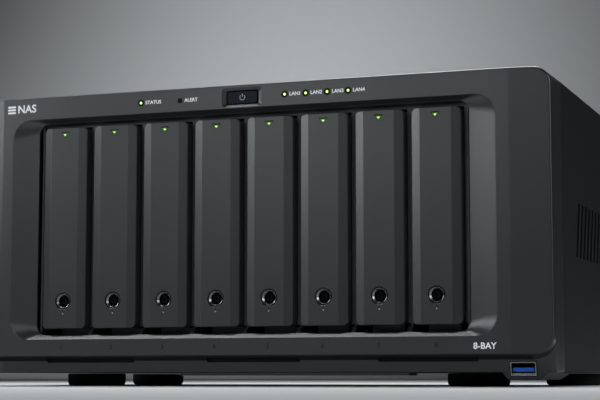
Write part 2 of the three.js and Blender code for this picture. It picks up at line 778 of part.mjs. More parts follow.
place(meshOf("front_bezel", frontBezel(), MATERIALS.shell));
place(meshOf("top_cover", topCover(), MATERIALS.cover));
place(meshOf("base_pan", basePan(), MATERIALS.cover));
place(meshOf("rear_panel", rearPanel(), MATERIALS.cover));
place(meshOf("expansion_slot_cover", slotCover(), MATERIALS.steel));
place(meshOf("drive_cage", driveCage(), MATERIALS.cage));
place(meshOf("backplane", backplane(), MATERIALS.circuit));
place(meshOf("mainboard", mainboard(), MATERIALS.circuit));
place(meshOf("cpu_heatsink", heatsink(), MATERIALS.steel));
place(meshOf("memory_module", memoryModule(), MATERIALS.circuit));
place(meshOf("indicator_board", indicatorBoard(), MATERIALS.circuit));
place(meshOf("power_button", powerButton(), MATERIALS.gloss));
place(meshOf("reset_button", resetButton(), MATERIALS.socket));
place(meshOf("psu_case", psuCase(), MATERIALS.steel));
place(meshOf("power_inlet", powerInlet(), MATERIALS.socket));

// Front port, facing forwards; rear ports are turned round to face backwards.
const frontPort = meshOf("front_usb_port", frontUsbPort(), MATERIALS.blue);
place(frontPort, (USB.left + USB.right) / 2, FRONT + STRIP_SETBACK, USB.bottom);
place(meshOf("rear_usb_ports", rearUsbPorts(), MATERIALS.steel), USB_REAR.x, PORT_FACE, PORT_Z, Math.PI);
place(meshOf("lan_port_block", lanPorts(), MATERIALS.steel), LAN.x, PORT_FACE, PORT_Z, Math.PI);
place(meshOf("esata_ports", esataPorts(), MATERIALS.steel), ESATA.x, PORT_FACE, PORT_Z, Math.PI);

for (const [name, [x, y]] of Object.entries(FEET)) {
  place(meshOf(name, foot(), MATERIALS.rubber), x, y);
}

const frame = fanFrame();
const mainRotor = rotor(FAN.hub, FAN.bore - 1.5, FAN_FRONT + 1, FAN_BACK - 4.5, 7, {
  wide: 26,
  thick: 1.6,
  pitch: 0.6,
});
for (const [side, x] of [
  ["left", -FAN.x],
  ["right", FAN.x],
]) {
  place(meshOf(`fan_${side}_frame`, frame, MATERIALS.fan), x);
  place(meshOf(`fan_${side}_rotor`, mainRotor, MATERIALS.fan), x, 0, FAN.z);
}
const psuRotor = rotor(7, PSU_FAN.bore - 1, PSU_BACK - PSU_FAN.depth + 1, PSU_BACK - 1.5, 5, {
  wide: 9,
  thick: 1.2,
  pitch: 0.6,
});
place(meshOf("psu_fan_rotor", psuRotor, MATERIALS.fan), PSU_FAN.x, 0, PSU_FAN.z);

// Each bay holds the same four pieces, moved along to its place.
const bayPieces = [
  ["tray", tray(), MATERIALS.carrier],
  ["handle", handle(), MATERIALS.handle],
  ["lock", lock(), MATERIALS.lock],
  ["drive", drive(), MATERIALS.drive],
];
for (let i = 0; i < BAYS; i += 1) {
  const bay = new THREE.Group();
  bay.position.x = bayX(i);
  for (const [name, body, look] of bayPieces) {
    bay.add(meshOf(`${name}_${i + 1}`, body, look));
  }
  enclosure.add(bay);
}

export default enclosure;
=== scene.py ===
"""Eight-bay network storage enclosure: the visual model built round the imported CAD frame.

Lengths in the tables below are millimetres in the row frame; MM turns them into metres.
"""

import json
import math

import bmesh
import bpy
from mathutils import Matrix, Vector


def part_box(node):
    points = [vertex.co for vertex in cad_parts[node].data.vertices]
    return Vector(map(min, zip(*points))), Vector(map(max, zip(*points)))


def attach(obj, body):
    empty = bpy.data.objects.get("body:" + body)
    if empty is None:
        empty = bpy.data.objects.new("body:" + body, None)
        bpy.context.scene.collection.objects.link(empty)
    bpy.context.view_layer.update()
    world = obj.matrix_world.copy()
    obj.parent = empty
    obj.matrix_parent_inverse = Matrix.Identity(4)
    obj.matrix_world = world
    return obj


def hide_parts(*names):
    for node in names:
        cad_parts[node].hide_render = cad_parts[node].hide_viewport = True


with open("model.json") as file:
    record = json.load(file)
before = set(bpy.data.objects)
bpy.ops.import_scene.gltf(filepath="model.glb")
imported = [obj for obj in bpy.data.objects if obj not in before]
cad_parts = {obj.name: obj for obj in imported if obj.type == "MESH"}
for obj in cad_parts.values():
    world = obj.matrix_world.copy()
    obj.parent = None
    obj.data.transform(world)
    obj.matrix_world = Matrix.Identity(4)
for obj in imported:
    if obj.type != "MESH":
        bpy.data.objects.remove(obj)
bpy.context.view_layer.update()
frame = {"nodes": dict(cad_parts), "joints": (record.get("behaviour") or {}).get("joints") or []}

# ---------- dimensions

MM = 0.001


def node_box(node):
    """Lowest and highest corner of a CAD node, in millimetres."""
    low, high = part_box(node)
    return low / MM, high / MM


BEZEL_LOW, BEZEL_HIGH = node_box("front_bezel")
COVER_LOW, COVER_HIGH = node_box("top_cover")
HANDLE_LOW, HANDLE_HIGH = node_box("handle_1")
LOCK_LOW, LOCK_HIGH = node_box("lock_1")
BUTTON_LOW, BUTTON_HIGH = node_box("power_button")
USB_LOW, USB_HIGH = node_box("front_usb_port")

PRINT_ROOM = 0.1
FRONT = BEZEL_LOW.y + PRINT_ROOM
HALF = BEZEL_HIGH.x
HEIGHT = BEZEL_HIGH.z
GAP = 0.3
SEAM = COVER_LOW.y - GAP
CASE_HALF = COVER_HIGH.x
BASE_Z = COVER_LOW.z
REAR = COVER_HIGH.y
SHEET = 1.2

FACE_BOTTOM = 16.7
STRIP_TOP = 13.9
STRIP_SETBACK = 4.5
STRIP_LEAN = 0.3
FACE_HALF = 150.0
WING_SLOPE = 0.14
FACE_CORNER = 9.0
EDGE_ROUND = 1.1
PLATE = 6.0
AIR_SLOTS = (-93.4, 5.3, 104.0)

# Half width, bottom, top and corner radius of the recess, at its mouth and at its floor.
RECESS_OUTER = (142.9, 26.2, 152.9, 12.0)
RECESS_INNER = (127.7, 28.7, 150.5, 6.0)
RECESS_DEPTH = 4.0
SILL_DEPTH = 2.4

BAYS = 8
BAY_PITCH = 31.4
HANDLE_FRONT = HANDLE_LOW.y
HANDLE_BACK = HANDLE_HIGH.y
HANDLE_HALF = (HANDLE_HIGH.x - HANDLE_LOW.x) / 2
HANDLE_FLAT = 8.55
HANDLE_BEVEL = 1.4
WING_SOFTNESS = 0.8
BEVEL_SOFTNESS = 0.2
PIVOT_Y = HANDLE_FRONT + 4.8
PIVOT_Z = HANDLE_HIGH.z - 3.4
LOCK_Z = 48.0
OPEN_DOT_Z = 40.8
SHUT_MARK_Z = 42.4
LAMP_Z = 158.9
BAY_NUMBER_Z = 21.6
VENT_COUNT = 9
VENT_PITCH = 10.5


def bay_x(index):
    return (index - (BAYS - 1) / 2) * BAY_PITCH


def around(middle, half):
    """The two places that lie half a width to each side of a middle."""
    return middle - half, middle + half


def face_of(low, high):
    """Middle X and Z, half width and half height of a box seen from the front."""
    return (low.x + high.x) / 2, (low.z + high.z) / 2, (high.x - low.x) / 2, (high.z - low.z) / 2


# ---------- materials


def add_node(material, kind, **settings):
    """A shader node; settings name its properties, or its inputs with spaces as underscores."""
    node = material.node_tree.nodes.new("ShaderNode" + kind)
    for key, value in settings.items():
        if hasattr(node, key):
            setattr(node, key, value)
        else:
            node.inputs[key.replace("_", " ")].default_value = value
    return node


def join_nodes(source, target):
    source.id_data.links.new(source, target)


def principled(name, colour, roughness, metallic=0.0, specular=0.5):
    material = bpy.data.materials.new(name)
    material.use_nodes = True
    shader = material.node_tree.nodes["Principled BSDF"]
    shader.inputs["Base Color"].default_value = (*colour, 1.0)
    shader.inputs["Roughness"].default_value = roughness
    shader.inputs["Metallic"].default_value = metallic
    shader.inputs["Specular IOR Level"].default_value = specular
    return material, shader


def object_space(material):
    return add_node(material, "TexCoord").outputs["Object"]


def noise(material, scale, detail=2.0, stretch=None):
    """Noise in object space; scale is in features per metre."""
    source = object_space(material)
    if stretch:
        mapping = add_node(material, "Mapping")
        mapping.inputs["Scale"].default_value = stretch
        join_nodes(source, mapping.inputs["Vector"])
        source = mapping.outputs["Vector"]
    texture = add_node(material, "TexNoise", Scale=scale, Detail=detail)
    join_nodes(source, texture.inputs["Vector"])
    return texture.outputs["Fac"]


def ramp(material, source, low, high, start=0.3, end=0.7):
    """Maps a noise value onto low to high: numbers, or colours as tuples."""
    if isinstance(low, tuple):
        mix = add_node(material, "ValToRGB")
        mix.color_ramp.elements[0].position = start
        mix.color_ramp.elements[1].position = end
        mix.color_ramp.elements[0].color = (*low, 1.0)
        mix.color_ramp.elements[1].color = (*high, 1.0)
        join_nodes(source, mix.inputs["Fac"])
        return mix.outputs["Color"]
    mix = add_node(material, "MapRange", From_Min=start, From_Max=end, To_Min=low, To_Max=high)
    join_nodes(source, mix.inputs["Value"])
    return mix.outputs["Result"]


def bump(material, shader, source, strength, distance):
    node = add_node(material, "Bump", Strength=strength, Distance=distance)
    join_nodes(source, node.inputs["Height"])
    join_nodes(node.outputs["Normal"], shader.inputs["Normal"])


def shades(colour, spread):
    """A darker and a lighter version of a colour."""
    return tuple(c * (1 - spread) for c in colour), tuple(c * (1 + spread) for c in colour)


def textured(
    name, colour, roughness, grain, spread=0.12, metallic=0.0, specular=0.5, strength=0.25, depth=0.00006
):
    """Moulded or coated surface: fine grain in relief and colour, slow drift in roughness."""
    material, shader = principled(name, colour, roughness, metallic, specular)
    fine = noise(material, grain, 3.0)
    slow = noise(material, 22.0, 2.0)
    join_nodes(ramp(material, fine, *shades(colour, spread)), shader.inputs["Base Color"])
    rough = ramp(material, slow, roughness - 0.012, roughness + 0.012, 0.2, 0.8)
    join_nodes(rough, shader.inputs["Roughness"])
    bump(material, shader, fine, strength, depth)
    return material


def brushed(name, colour, roughness, stretch=(1.0, 1.0, 40.0)):
    """Metal with fine drawn lines along one axis."""
    material, shader = principled(name, colour, roughness, 1.0)
    lines = noise(material, 400.0, 4.0, stretch)
    join_nodes(ramp(material, lines, *shades(colour, 0.12)), shader.inputs["Base Color"])
    rough = ramp(material, lines, roughness - 0.08, roughness + 0.1)
    join_nodes(rough, shader.inputs["Roughness"])
    bump(material, shader, lines, 0.1, 0.00002)
    return material


def spangled(name, colour):
    """Galvanised sheet: pale crystal patches."""
    material, shader = principled(name, colour, 0.4, 1.0)
    cells = add_node(material, "TexVoronoi", Scale=180.0)
    join_nodes(object_space(material), cells.inputs["Vector"])
    tone = add_node(material, "RGBToBW")
    join_nodes(cells.outputs["Color"], tone.inputs["Color"])
    flakes = ramp(material, tone.outputs["Val"], *shades(colour, 0.18))
    join_nodes(flakes, shader.inputs["Base Color"])
    join_nodes(ramp(material, tone.outputs["Val"], 0.32, 0.5), shader.inputs["Roughness"])
    bump(material, shader, noise(material, 600.0), 0.08, 0.00003)
    return material


def glowing(name, colour, strength):
    """A lit lens, and also label print that glows as painted light: the glow is strongest in patches, as a
    diode behind a diffuser is.
    """
    material, shader = principled(name, colour, 0.35)
    shader.inputs["Emission Strength"].default_value = strength
    patch = noise(material, 500.0, 1.0)
    join_nodes(ramp(material, patch, *shades(colour, 0.15)), shader.inputs["Emission Color"])
    return material


def circuit_board(name):
    """Solder mask with tracks under it."""
    base = (0.012, 0.075, 0.035)
    material, shader = principled(name, base, 0.35)
    tracks = add_node(material, "TexBrick", Scale=260.0, Mortar_Size=0.02)
    tracks.inputs["Color1"].default_value = (*base, 1.0)
    tracks.inputs["Color2"].default_value = (0.016, 0.095, 0.045, 1.0)
    tracks.inputs["Mortar"].default_value = (0.03, 0.16, 0.08, 1.0)
    join_nodes(object_space(material), tracks.inputs["Vector"])
    join_nodes(tracks.outputs["Color"], shader.inputs["Base Color"])
    bump(material, shader, noise(material, 900.0), 0.1, 0.00003)
    return material


PLASTIC_TONE = (0.021, 0.0222, 0.024)
HANDLE_TONE = (0.0205, 0.0216, 0.0234)
# Lighter colour for the sides and back of each lever: painted light for the lit side walls in the gaps
# between the levers.
HANDLE_SIDE_PAINTED_LIGHT = (0.07, 0.072, 0.076)
COVER_TONE = (0.017, 0.0175, 0.019)
LABEL_TONE = (0.62, 0.64, 0.66)

LOOKS = {
    "shell": textured("charcoal_moulding", PLASTIC_TONE, 0.31, 2600.0, specular=0.8),
    "handle": textured("lever_moulding", HANDLE_TONE, 0.31, 2800.0, specular=0.8),
    "cover": textured("powder_coat", COVER_TONE, 0.55, 1500.0, specular=0.15, strength=0.35),
    "black": textured("black_moulding", (0.014, 0.014, 0.015), 0.5, 1800.0, specular=0.35),
    "carrier": textured("carrier_moulding", (0.06, 0.061, 0.064), 0.5, 2000.0),
    "rubber": textured("foot_rubber", (0.016, 0.016, 0.016), 0.8, 1200.0, specular=0.25, strength=0.5),
    "fan": textured("fan_moulding", (0.018, 0.018, 0.02), 0.42, 900.0),
    "gloss": textured("button_gloss", (0.006, 0.01, 0.018), 0.2, 300.0, 0.05, specular=0.06, strength=0.03),
    "lock": textured("lock_plating", (0.012, 0.012, 0.013), 0.35, 3000.0, specular=0.3),
    "lock_rim": textured("lock_rim", (0.32, 0.33, 0.34), 0.24, 3000.0, metallic=1.0, strength=0.03),
    # Near-black keyway core: painted shade for the dark hole of each lock.
    "lock_core_painted_shade": textured("lock_core_painted_shade", (0.004, 0.004, 0.005), 0.5, 2000.0, specular=0.06),
    "nickel": brushed("nickel_shell", (0.62, 0.62, 0.63), 0.28),
    "steel": brushed("plated_steel", (0.55, 0.55, 0.56), 0.3),
    "heatsink": brushed("heatsink_alloy", (0.6, 0.61, 0.62), 0.36, (1.0, 40.0, 1.0)),
    "drive": brushed("drive_casting", (0.5, 0.51, 0.53), 0.4, (1.0, 8.0, 8.0)),
    "cage": textured("cage_coating", (0.07, 0.072, 0.076), 0.5, 1400.0),
    "supply": spangled("supply_case", (0.42, 0.43, 0.44)),
    "circuit": circuit_board("circuit_board"),
    "gold": textured("gold_contact", (0.7, 0.45, 0.12), 0.25, 2500.0, metallic=1.0),
    "blue": textured("port_blue", (0.02, 0.14, 0.72), 0.4, 1500.0),
    "print": textured("label_print", LABEL_TONE, 0.6, 4000.0),
    # Label print that glows though it is no lamp: painted light that keeps the white print bright.
    "painted_glow_print": glowing("painted_glow_print", LABEL_TONE, 0.55),
    "faint_print": textured("faint_print", (0.008, 0.0085, 0.01), 0.45, 4000.0, specular=0.3),
    "green": glowing("lamp_green", (0.1, 0.3, 0.02), 0.06),
    "green_core": glowing("lamp_core", (0.72, 1.0, 0.3), 1.15),
    "green_edge": textured("lamp_edge", (0.006, 0.02, 0.003), 0.4, 900.0, specular=0.06),
    "lamp_off": textured("lamp_off", (0.007, 0.008, 0.008), 0.4, 800.0, specular=0.06),
    # Dark matt finish that paints shade: the shadow under the face's lower edge and inside the air slots.
    "shadow": textured("shadow_strip", (0.02, 0.0205, 0.022), 0.7, 1500.0, specular=0.06),
}


# Sockets of a Mix node that carry colours.
MIX_FIRST, MIX_SECOND, MIX_RESULT = 6, 7, 2


def tone_by_depth(material, colour, start, end):
    """Blends a surface's colour into another one between two places along its own Y."""
    shader = material.node_tree.nodes["Principled BSDF"]
    grain = shader.inputs["Base Color"].links[0].from_socket
    axes = add_node(material, "SeparateXYZ")
    join_nodes(object_space(material), axes.inputs["Vector"])
    mix = add_node(material, "Mix", data_type="RGBA")
    share = ramp(material, axes.outputs["Y"], 0.0, 1.0, start * MM, end * MM)
    join_nodes(share, mix.inputs["Factor"])
    join_nodes(grain, mix.inputs[MIX_FIRST])
    mix.inputs[MIX_SECOND].default_value = (*colour, 1.0)
    join_nodes(mix.outputs[MIX_RESULT], shader.inputs["Base Color"])


# The levers' sides and back blend into the lighter colour: painted light on their side walls.
tone_by_depth(LOOKS["handle"], HANDLE_SIDE_PAINTED_LIGHT, HANDLE_FRONT + 2.1, HANDLE_FRONT + 2.9)


# ---------- mesh tools


def link(name, data):
    piece = bpy.data.objects.new(name, data)
    bpy.context.scene.collection.objects.link(piece)
    return piece


def mesh_object(name, corners, faces):
    mesh = bpy.data.meshes.new(name)
    mesh.from_pydata([Vector(c) * MM for c in corners], [], faces)
    shape = bmesh.new()
    shape.from_mesh(mesh)
    bmesh.ops.recalc_face_normals(shape, faces=shape.faces)
    shape.to_mesh(mesh)
    shape.free()
    return link(name, mesh)


def rounded_rect(half, bottom, top, radius, low_radius=None, centre=0.0, steps=10):
    """Rounded rectangle in X and Z, counter-clockwise seen from the front."""
    low = radius if low_radius is None else low_radius
    corners = (
        (centre + half - low, bottom + low, low),
        (centre + half - radius, top - radius, radius),
        (centre - half + radius, top - radius, radius),
        (centre - half + low, bottom + low, low),
    )
    outline = []
    for quarter, (x, z, r) in enumerate(corners):
        for step in range(steps + 1):
            angle = math.pi / 2 * (quarter - 1 + step / steps)
            outline.append((x + r * math.cos(angle), z + r * math.sin(angle)))
    return outline


def circle(x, z, radius, steps=48):
    angles = [2 * math.pi * i / steps for i in range(steps)]
    return [(x + radius * math.cos(a), z + radius * math.sin(a)) for a in angles]


def loft(name, rings):
    """Solid through outlines in X and Z, each at its Y; all have the same number of points."""
    count = len(rings[0][0])
    corners = [(x, y, z) for outline, y in rings for x, z in outline]
    faces = [tuple(range(count)), tuple(range((len(rings) - 1) * count, len(rings) * count))[::-1]]
    for layer in range(len(rings) - 1):
        for i in range(count):
            here, there = layer * count + i, layer * count + (i + 1) % count
            faces.append((there, here, here + count, there + count))
    return mesh_object(name, corners, faces)


def prism(name, outline, axis, low, high):
    """Outline in the two other axes, in X, Y, Z order, pulled along axis from low to high."""
    place = "xyz".index(axis)
    count = len(outline)
    corners = [(*point[:place], along, *point[place:]) for along in (low, high) for point in outline]
    faces = [tuple(range(count)), tuple(range(count, 2 * count))[::-1]]
    faces += [(i, (i + 1) % count, (i + 1) % count + count, i + count) for i in range(count)]
    return mesh_object(name, corners, faces)


def block(name, xs, ys, zs):
    outline = [(xs[0], ys[0]), (xs[1], ys[0]), (xs[1], ys[1]), (xs[0], ys[1])]
    return prism(name, outline, "z", *zs)


def lathe(name, profile, steps=48):
    """Turns a profile of (radius, depth) points about the Y axis; ends with radius 0 close it."""
    corners, rows = [], []
    for radius, depth in profile:
        if radius == 0:
            rows.append([len(corners)] * steps)
            corners.append((0.0, depth, 0.0))
            continue
        rows.append([len(corners) + i for i in range(steps)])
        corners += [(x, depth, z) for x, z in circle(0.0, 0.0, radius, steps)]
    faces = []
    for near, far in zip(rows, rows[1:]):
        for i in range(steps):
            j = (i + 1) % steps
            quad = (near[i], near[j], far[j], far[i])
            faces.append(tuple(dict.fromkeys(quad)))
    return mesh_object(name, corners, [f for f in faces if len(f) > 2])


def final_mesh(piece):
    graph = bpy.context.evaluated_depsgraph_get()
    return bpy.data.meshes.new_from_object(piece.evaluated_get(graph))


def bake(piece):
    """Applies the piece's modifiers to its mesh."""
    mesh = final_mesh(piece)
    piece.modifiers.clear()
    piece.data = mesh
    return piece


def take_mesh(piece):
    """The mesh of a piece, with its modifiers applied; the piece itself goes."""
    mesh = bake(piece).data
    bpy.data.objects.remove(piece)
    return mesh


def combine(piece, operation, tools):
    for tool in tools:
        step = piece.modifiers.new("boolean", "BOOLEAN")
        step.operation = operation
        step.solver = "MANIFOLD"
        step.object = tool
    bake(piece)
    for tool in tools:
        bpy.data.objects.remove(tool)
    return piece


def subtract(piece, *tools):
    return combine(piece, "DIFFERENCE", tools)


def unite(piece, *tools):
    return combine(piece, "UNION", tools)


def merge(name, parts):
    """Joins separate meshes into one object, each left as it is."""
    shape = bmesh.new()
    for part in parts:
        part.data.transform(part.matrix_basis)
        shape.from_mesh(part.data)
    mesh = bpy.data.meshes.new(name)
    shape.to_mesh(mesh)
    shape.free()
    for part in parts:
        bpy.data.objects.remove(part)
    return link(name, mesh)


def soften(piece, width=0.3, segments=2, angle=30.0):
    """Rounds a piece's sharp edges."""
    edge = piece.modifiers.new("edge", "BEVEL")
    edge.width = width * MM
    edge.segments = segments
    edge.limit_method = "ANGLE"
    edge.angle_limit = math.radians(angle)
    return bake(piece)


SAME_PLANE = 0.99999


def flat_regions(shape):
    """For each face, the area of the flat region that it is part of."""
    areas = {}
    for seed in shape.faces:
        if seed in areas:
            continue
        region, waiting = {seed}, [seed]
        while waiting:
            for edge in waiting.pop().edges:
                for other in edge.link_faces:
                    known = other in region or other in areas
                    if not known and other.normal.dot(seed.normal) > SAME_PLANE:
                        region.add(other)
                        waiting.append(other)
        area = sum(face.calc_area() for face in region)
        areas.update(dict.fromkeys(region, area))
    return areas


def fans(corner):
    """The faces round a vertex, in groups that share smooth edges."""
    left = set(corner.link_faces)
    while left:
        waiting = [left.pop()]
        fan = list(waiting)
        while waiting:
            for edge in waiting.pop().edges:
                if corner not in edge.verts or not edge.smooth:
                    continue
                for other in edge.link_faces:
                    if other in left:
                        left.remove(other)
                        waiting.append(other)
                        fan.append(other)
        yield fan


def smooth(piece, angle=35.0):
    """Smooth shading that leaves every large flat area truly flat."""
    mesh = piece.data
    mesh.shade_smooth()
    mesh.set_sharp_from_angle(angle=math.radians(angle))
    shape = bmesh.new()
    shape.from_mesh(mesh)
    areas = flat_regions(shape)
    chosen = {}
    for corner in shape.verts:
        for fan in fans(corner):
            normal = Vector()
            for face in fan:
                normal += face.normal * (areas[face] / MM**2) ** 2
            for face in fan:
                chosen[face.index, corner.index] = normal.normalized()
    shape.free()
    normals = [None] * len(mesh.loops)
    for face in mesh.polygons:
        for loop, corner in zip(face.loop_indices, face.vertices):
            normals[loop] = chosen[face.index, corner]
    mesh.normals_split_custom_set(normals)
    return piece


def add_piece(piece, body, slot, look, *nodes):
    """Gives a piece its material and body, and hides the CAD nodes that it stands for."""
    piece.data.materials.clear()
    piece.data.materials.append(LOOKS[look])
    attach(piece, body)
    if nodes:
        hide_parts(*nodes)
    return piece


# Body and slot of what is moulded with the bezel or printed on it.
BEZEL = ("chassis", "bezel_plastic")


def copy_piece(name, mesh, x=0.0, y=0.0, z=0.0):
    piece = link(name, mesh)
    piece.location = Vector((x, y, z)) * MM
    return piece


def fillet_steps(radius, steps=4):
    """(inset, depth) pairs round a quarter circle, from the face to the side."""
    for step in range(steps + 1):
        angle = math.pi / 2 * step / steps
        yield radius * (1 - math.sin(angle)), radius * (1 - math.cos(angle))


def slice_at(piece, places, facing=(1, 0, 0)):
    """Adds edge loops where the mesh crosses planes that face one way, at distances from the origin."""
    shape = bmesh.new()
    shape.from_mesh(piece.data)
    facing = Vector(facing)
    for place in places:
        everything = shape.verts[:] + shape.edges[:] + shape.faces[:]
        point = facing * place * MM
        bmesh.ops.bisect_plane(shape, geom=everything, dist=1e-7, plane_co=point, plane_no=facing)
    shape.to_mesh(piece.data)
    shape.free()


def creases(half, softness):
    """Places for edge loops across two soft creases, half a width to each side of the middle."""
    return [side * (half + softness * share) for side in (-1, 1) for share in (-1, -0.5, 0, 0.5, 1)]


def eased(distance, softness):
    """Distance past a crease, rounded off over softness on each side."""
    if distance <= -softness:
        return 0.0
    if distance >= softness:
        return distance
    return (distance + softness) ** 2 / (4 * softness)


# ---------- front bezel


def recess_tool():
    """Cutter for the sunken panel: broad sloping sides, and a sill that slopes at 45 degrees."""
    half, bottom, top, radius = RECESS_OUTER
    inner_half, inner_bottom, inner_top, inner_radius = RECESS_INNER
    rings = [(rounded_rect(half + 0.6, bottom - 0.15, top + 0.15, radius + 0.3), FRONT - 1)]
    for aside, up, depth in ((0.6, 0.15, -0.01), (0.0, 0.0, 0.04), (-0.6, -0.2, 0.16)):
        rings.append((rounded_rect(half + aside, bottom - up, top + up, radius + up), FRONT + depth))
    share = SILL_DEPTH / RECESS_DEPTH
    middle = rounded_rect(
        half + share * (inner_half - half),
        inner_bottom - 0.05,
        top + share * (inner_top - top),
        radius + share * (inner_radius - radius),
    )
    rings.append((middle, FRONT + SILL_DEPTH + 0.1))
    for grow, depth in fillet_steps(0.3, 3):
        outline = rounded_rect(inner_half + grow, inner_bottom, inner_top + grow, inner_radius + grow)
        rings.append((outline, FRONT + RECESS_DEPTH - 0.1 + depth))
    rings.append((rounded_rect(inner_half, inner_bottom, inner_top, inner_radius), FRONT + PLATE + 1))
    return loft("recess_tool", rings)


def button_tool():
    _, middle, half, rise = face_of(BUTTON_LOW, BUTTON_HIGH)

    def outline(grow, radius):
        return rounded_rect(half + grow, middle - rise - grow * 0.62, middle + rise + grow * 0.62, radius)

    rings = [
        (outline(3.0, 2.2), FRONT - 1),
        (outline(3.0, 2.2), FRONT - 0.05),
        (outline(2.85, 2.1), FRONT + 0.1),
        (outline(0.7, 1.4), FRONT + 1.0),
        (outline(0.35, 1.2), FRONT + 1.6),
        (outline(0.35, 1.2), FRONT + PLATE + 1),
    ]
    return loft("button_tool", rings)


def bend_wings(piece):
    """Slopes a piece back beyond the flat middle of the face, less and less towards the seam."""
    slice_at(piece, creases(FACE_HALF, WING_SOFTNESS))
    for vertex in piece.data.vertices:
        x, y = vertex.co.x / MM, vertex.co.y / MM
        share = min(1.0, max(0.0, (SEAM - y) / (SEAM - FRONT - PLATE)))
        vertex.co.y += eased(abs(x) - FACE_HALF, WING_SOFTNESS) * WING_SLOPE * share * MM


def lean_at(z):
    """How far the low strip of the bezel leans back at a height."""
    return max(0.0, STRIP_TOP - z) * STRIP_LEAN


def make_filter(x):
    """Dust filter behind one of the low air slots: fine upright bars on a backing."""
    y = FRONT + PLATE + 0.02
    height = (11.5, 17.5)
    bars = [block("filter_back", around(x, 29), (y + 0.2, y + 0.3), height)]
    for i in range(38):
        bars.append(block("filter_bar", around(x - 28.5 + i * 1.54, 0.2), (y, y + 0.25), height))
    return merge("filter", bars)


def make_slots():
    slots = []
    for x in AIR_SLOTS:
        outline = rounded_rect(27.3, STRIP_TOP - 0.8, STRIP_TOP + 1.7, 0.6, centre=x, steps=3)
        slots.append(prism("air_slot", outline, "y", FRONT - 1, FRONT + PLATE + 1))
    return slots


def make_shadow_strip():
    """Dark matt strip that paints the shadow under the lower edge of the face, cut where the air slots come
    through it.
    """
    low_y, high_y = FRONT + STRIP_SETBACK + 0.25, FRONT + 1.7
    low_z, high_z = STRIP_TOP + 0.2, FACE_BOTTOM - 0.25
    section = [(low_y, low_z), (high_y, high_z), (high_y - 0.1, high_z - 0.15), (low_y - 0.1, low_z - 0.15)]
    end = HALF - FACE_CORNER - 2.5
    trim = prism("shadow_strip", section, "x", -end, end)
    subtract(trim, *make_slots())
    bend_wings(trim)
    add_piece(trim, *BEZEL, "shadow")


def make_bezel():
    strip = FRONT + STRIP_SETBACK
    rings = []
    for inset, depth in fillet_steps(EDGE_ROUND):
        corner = FACE_CORNER - inset * 0.5
        outline = rounded_rect(HALF - inset, FACE_BOTTOM + inset * 0.4, HEIGHT - inset, corner)
        rings.append((outline, FRONT + depth))
    rings.append((rounded_rect(HALF, STRIP_TOP, HEIGHT, FACE_CORNER, FACE_CORNER + 2), strip + 0.5))
    face = loft("bezel_moulding", rings)

    rings = []
    for inset, depth in fillet_steps(0.5, 3):
        outline = rounded_rect(HALF - inset, BASE_Z + inset, HEIGHT - inset, FACE_CORNER, 1.0)
        rings.append((outline, strip + depth))
    rings.append((rounded_rect(CASE_HALF + 0.1, BASE_Z, HEIGHT, 2.6, 1.0), SEAM - 0.3))
    rings.append((rounded_rect(CASE_HALF - 0.2, BASE_Z + 0.3, HEIGHT - 0.3, 2.4, 1.0), SEAM))
    shell = loft("bezel_sides", rings)

    near = rounded_rect(HALF - 3, BASE_Z + 2.5, HEIGHT - 2.6, FACE_CORNER - 2, 1.0)
    far = rounded_rect(CASE_HALF - 2.5, BASE_Z + 2.5, HEIGHT - 2.6, 1.5, 1.0)
    hollow = loft("bezel_hollow", [(near, FRONT + PLATE), (far, SEAM + 0.5)])
    unite(face, shell)
    subtract(face, hollow, recess_tool(), button_tool(), *make_slots())
    make_shadow_strip()
    # The filters take the dark shadow finish: painted shade for the inside of the air slots.
    filter_piece = merge("intake_filters", [make_filter(x) for x in AIR_SLOTS])
    add_piece(filter_piece, *BEZEL, "shadow")

    lip = block("base_lip", (-39, 93), (strip + 0.5, strip + 18), (BASE_Z - 1.5, BASE_Z + 1))
    section = [(146.2, 3.7), (162.4, 3.7), (167.0, BASE_Z - GAP), (143.0, BASE_Z - GAP)]
    tab = prism("port_tab", section, "y", strip, FRONT + 68)
    behind = [(FRONT + 63, 3.0), (FRONT + 72, 3.0), (FRONT + 72, BASE_Z + 1), (FRONT + 67.5, BASE_Z + 1)]
    subtract(tab, prism("tab_end", behind, "x", 140, 170))
    neck = block("tab_neck", (144, 166), (strip + 0.02, SEAM - 0.3), (BASE_Z - 1, BASE_Z + 1))
    soften(tab, 0.5, 3)
    unite(face, lip, tab, neck)
    sides, rise = (USB_LOW.x - GAP, USB_HIGH.x + GAP), (USB_LOW.z - GAP, USB_HIGH.z + GAP)
    subtract(face, block("port_hole", sides, (strip - 1, strip + 17), rise))

    slice_at(face, [STRIP_TOP], (0, 0, 1))
    for vertex in face.data.vertices:
        if vertex.co.y / MM < strip + 3:
            vertex.co.y += lean_at(vertex.co.z / MM) * MM
    bend_wings(face)
    smooth(face, 28)
    add_piece(face, *BEZEL, "shell", "front_bezel")

    ramps = []
    for i in range(1, BAYS):
        x = (i - BAYS / 2) * BAY_PITCH
        side = [
            (FRONT + RECESS_DEPTH + 0.2, RECESS_INNER[1] - 0.2),
            (FRONT + 9, RECESS_INNER[1]),
            (FRONT + 9, HANDLE_LOW.z - 0.2),
            (FRONT + RECESS_DEPTH + 2.8, HANDLE_LOW.z - 0.2),
        ]
        ramps.append(prism("ramp", side, "x", *around(x, 1.4)))
    ramp_piece = soften(merge("bay_ramps", ramps), 0.2)
    add_piece(smooth(ramp_piece), *BEZEL, "shell")


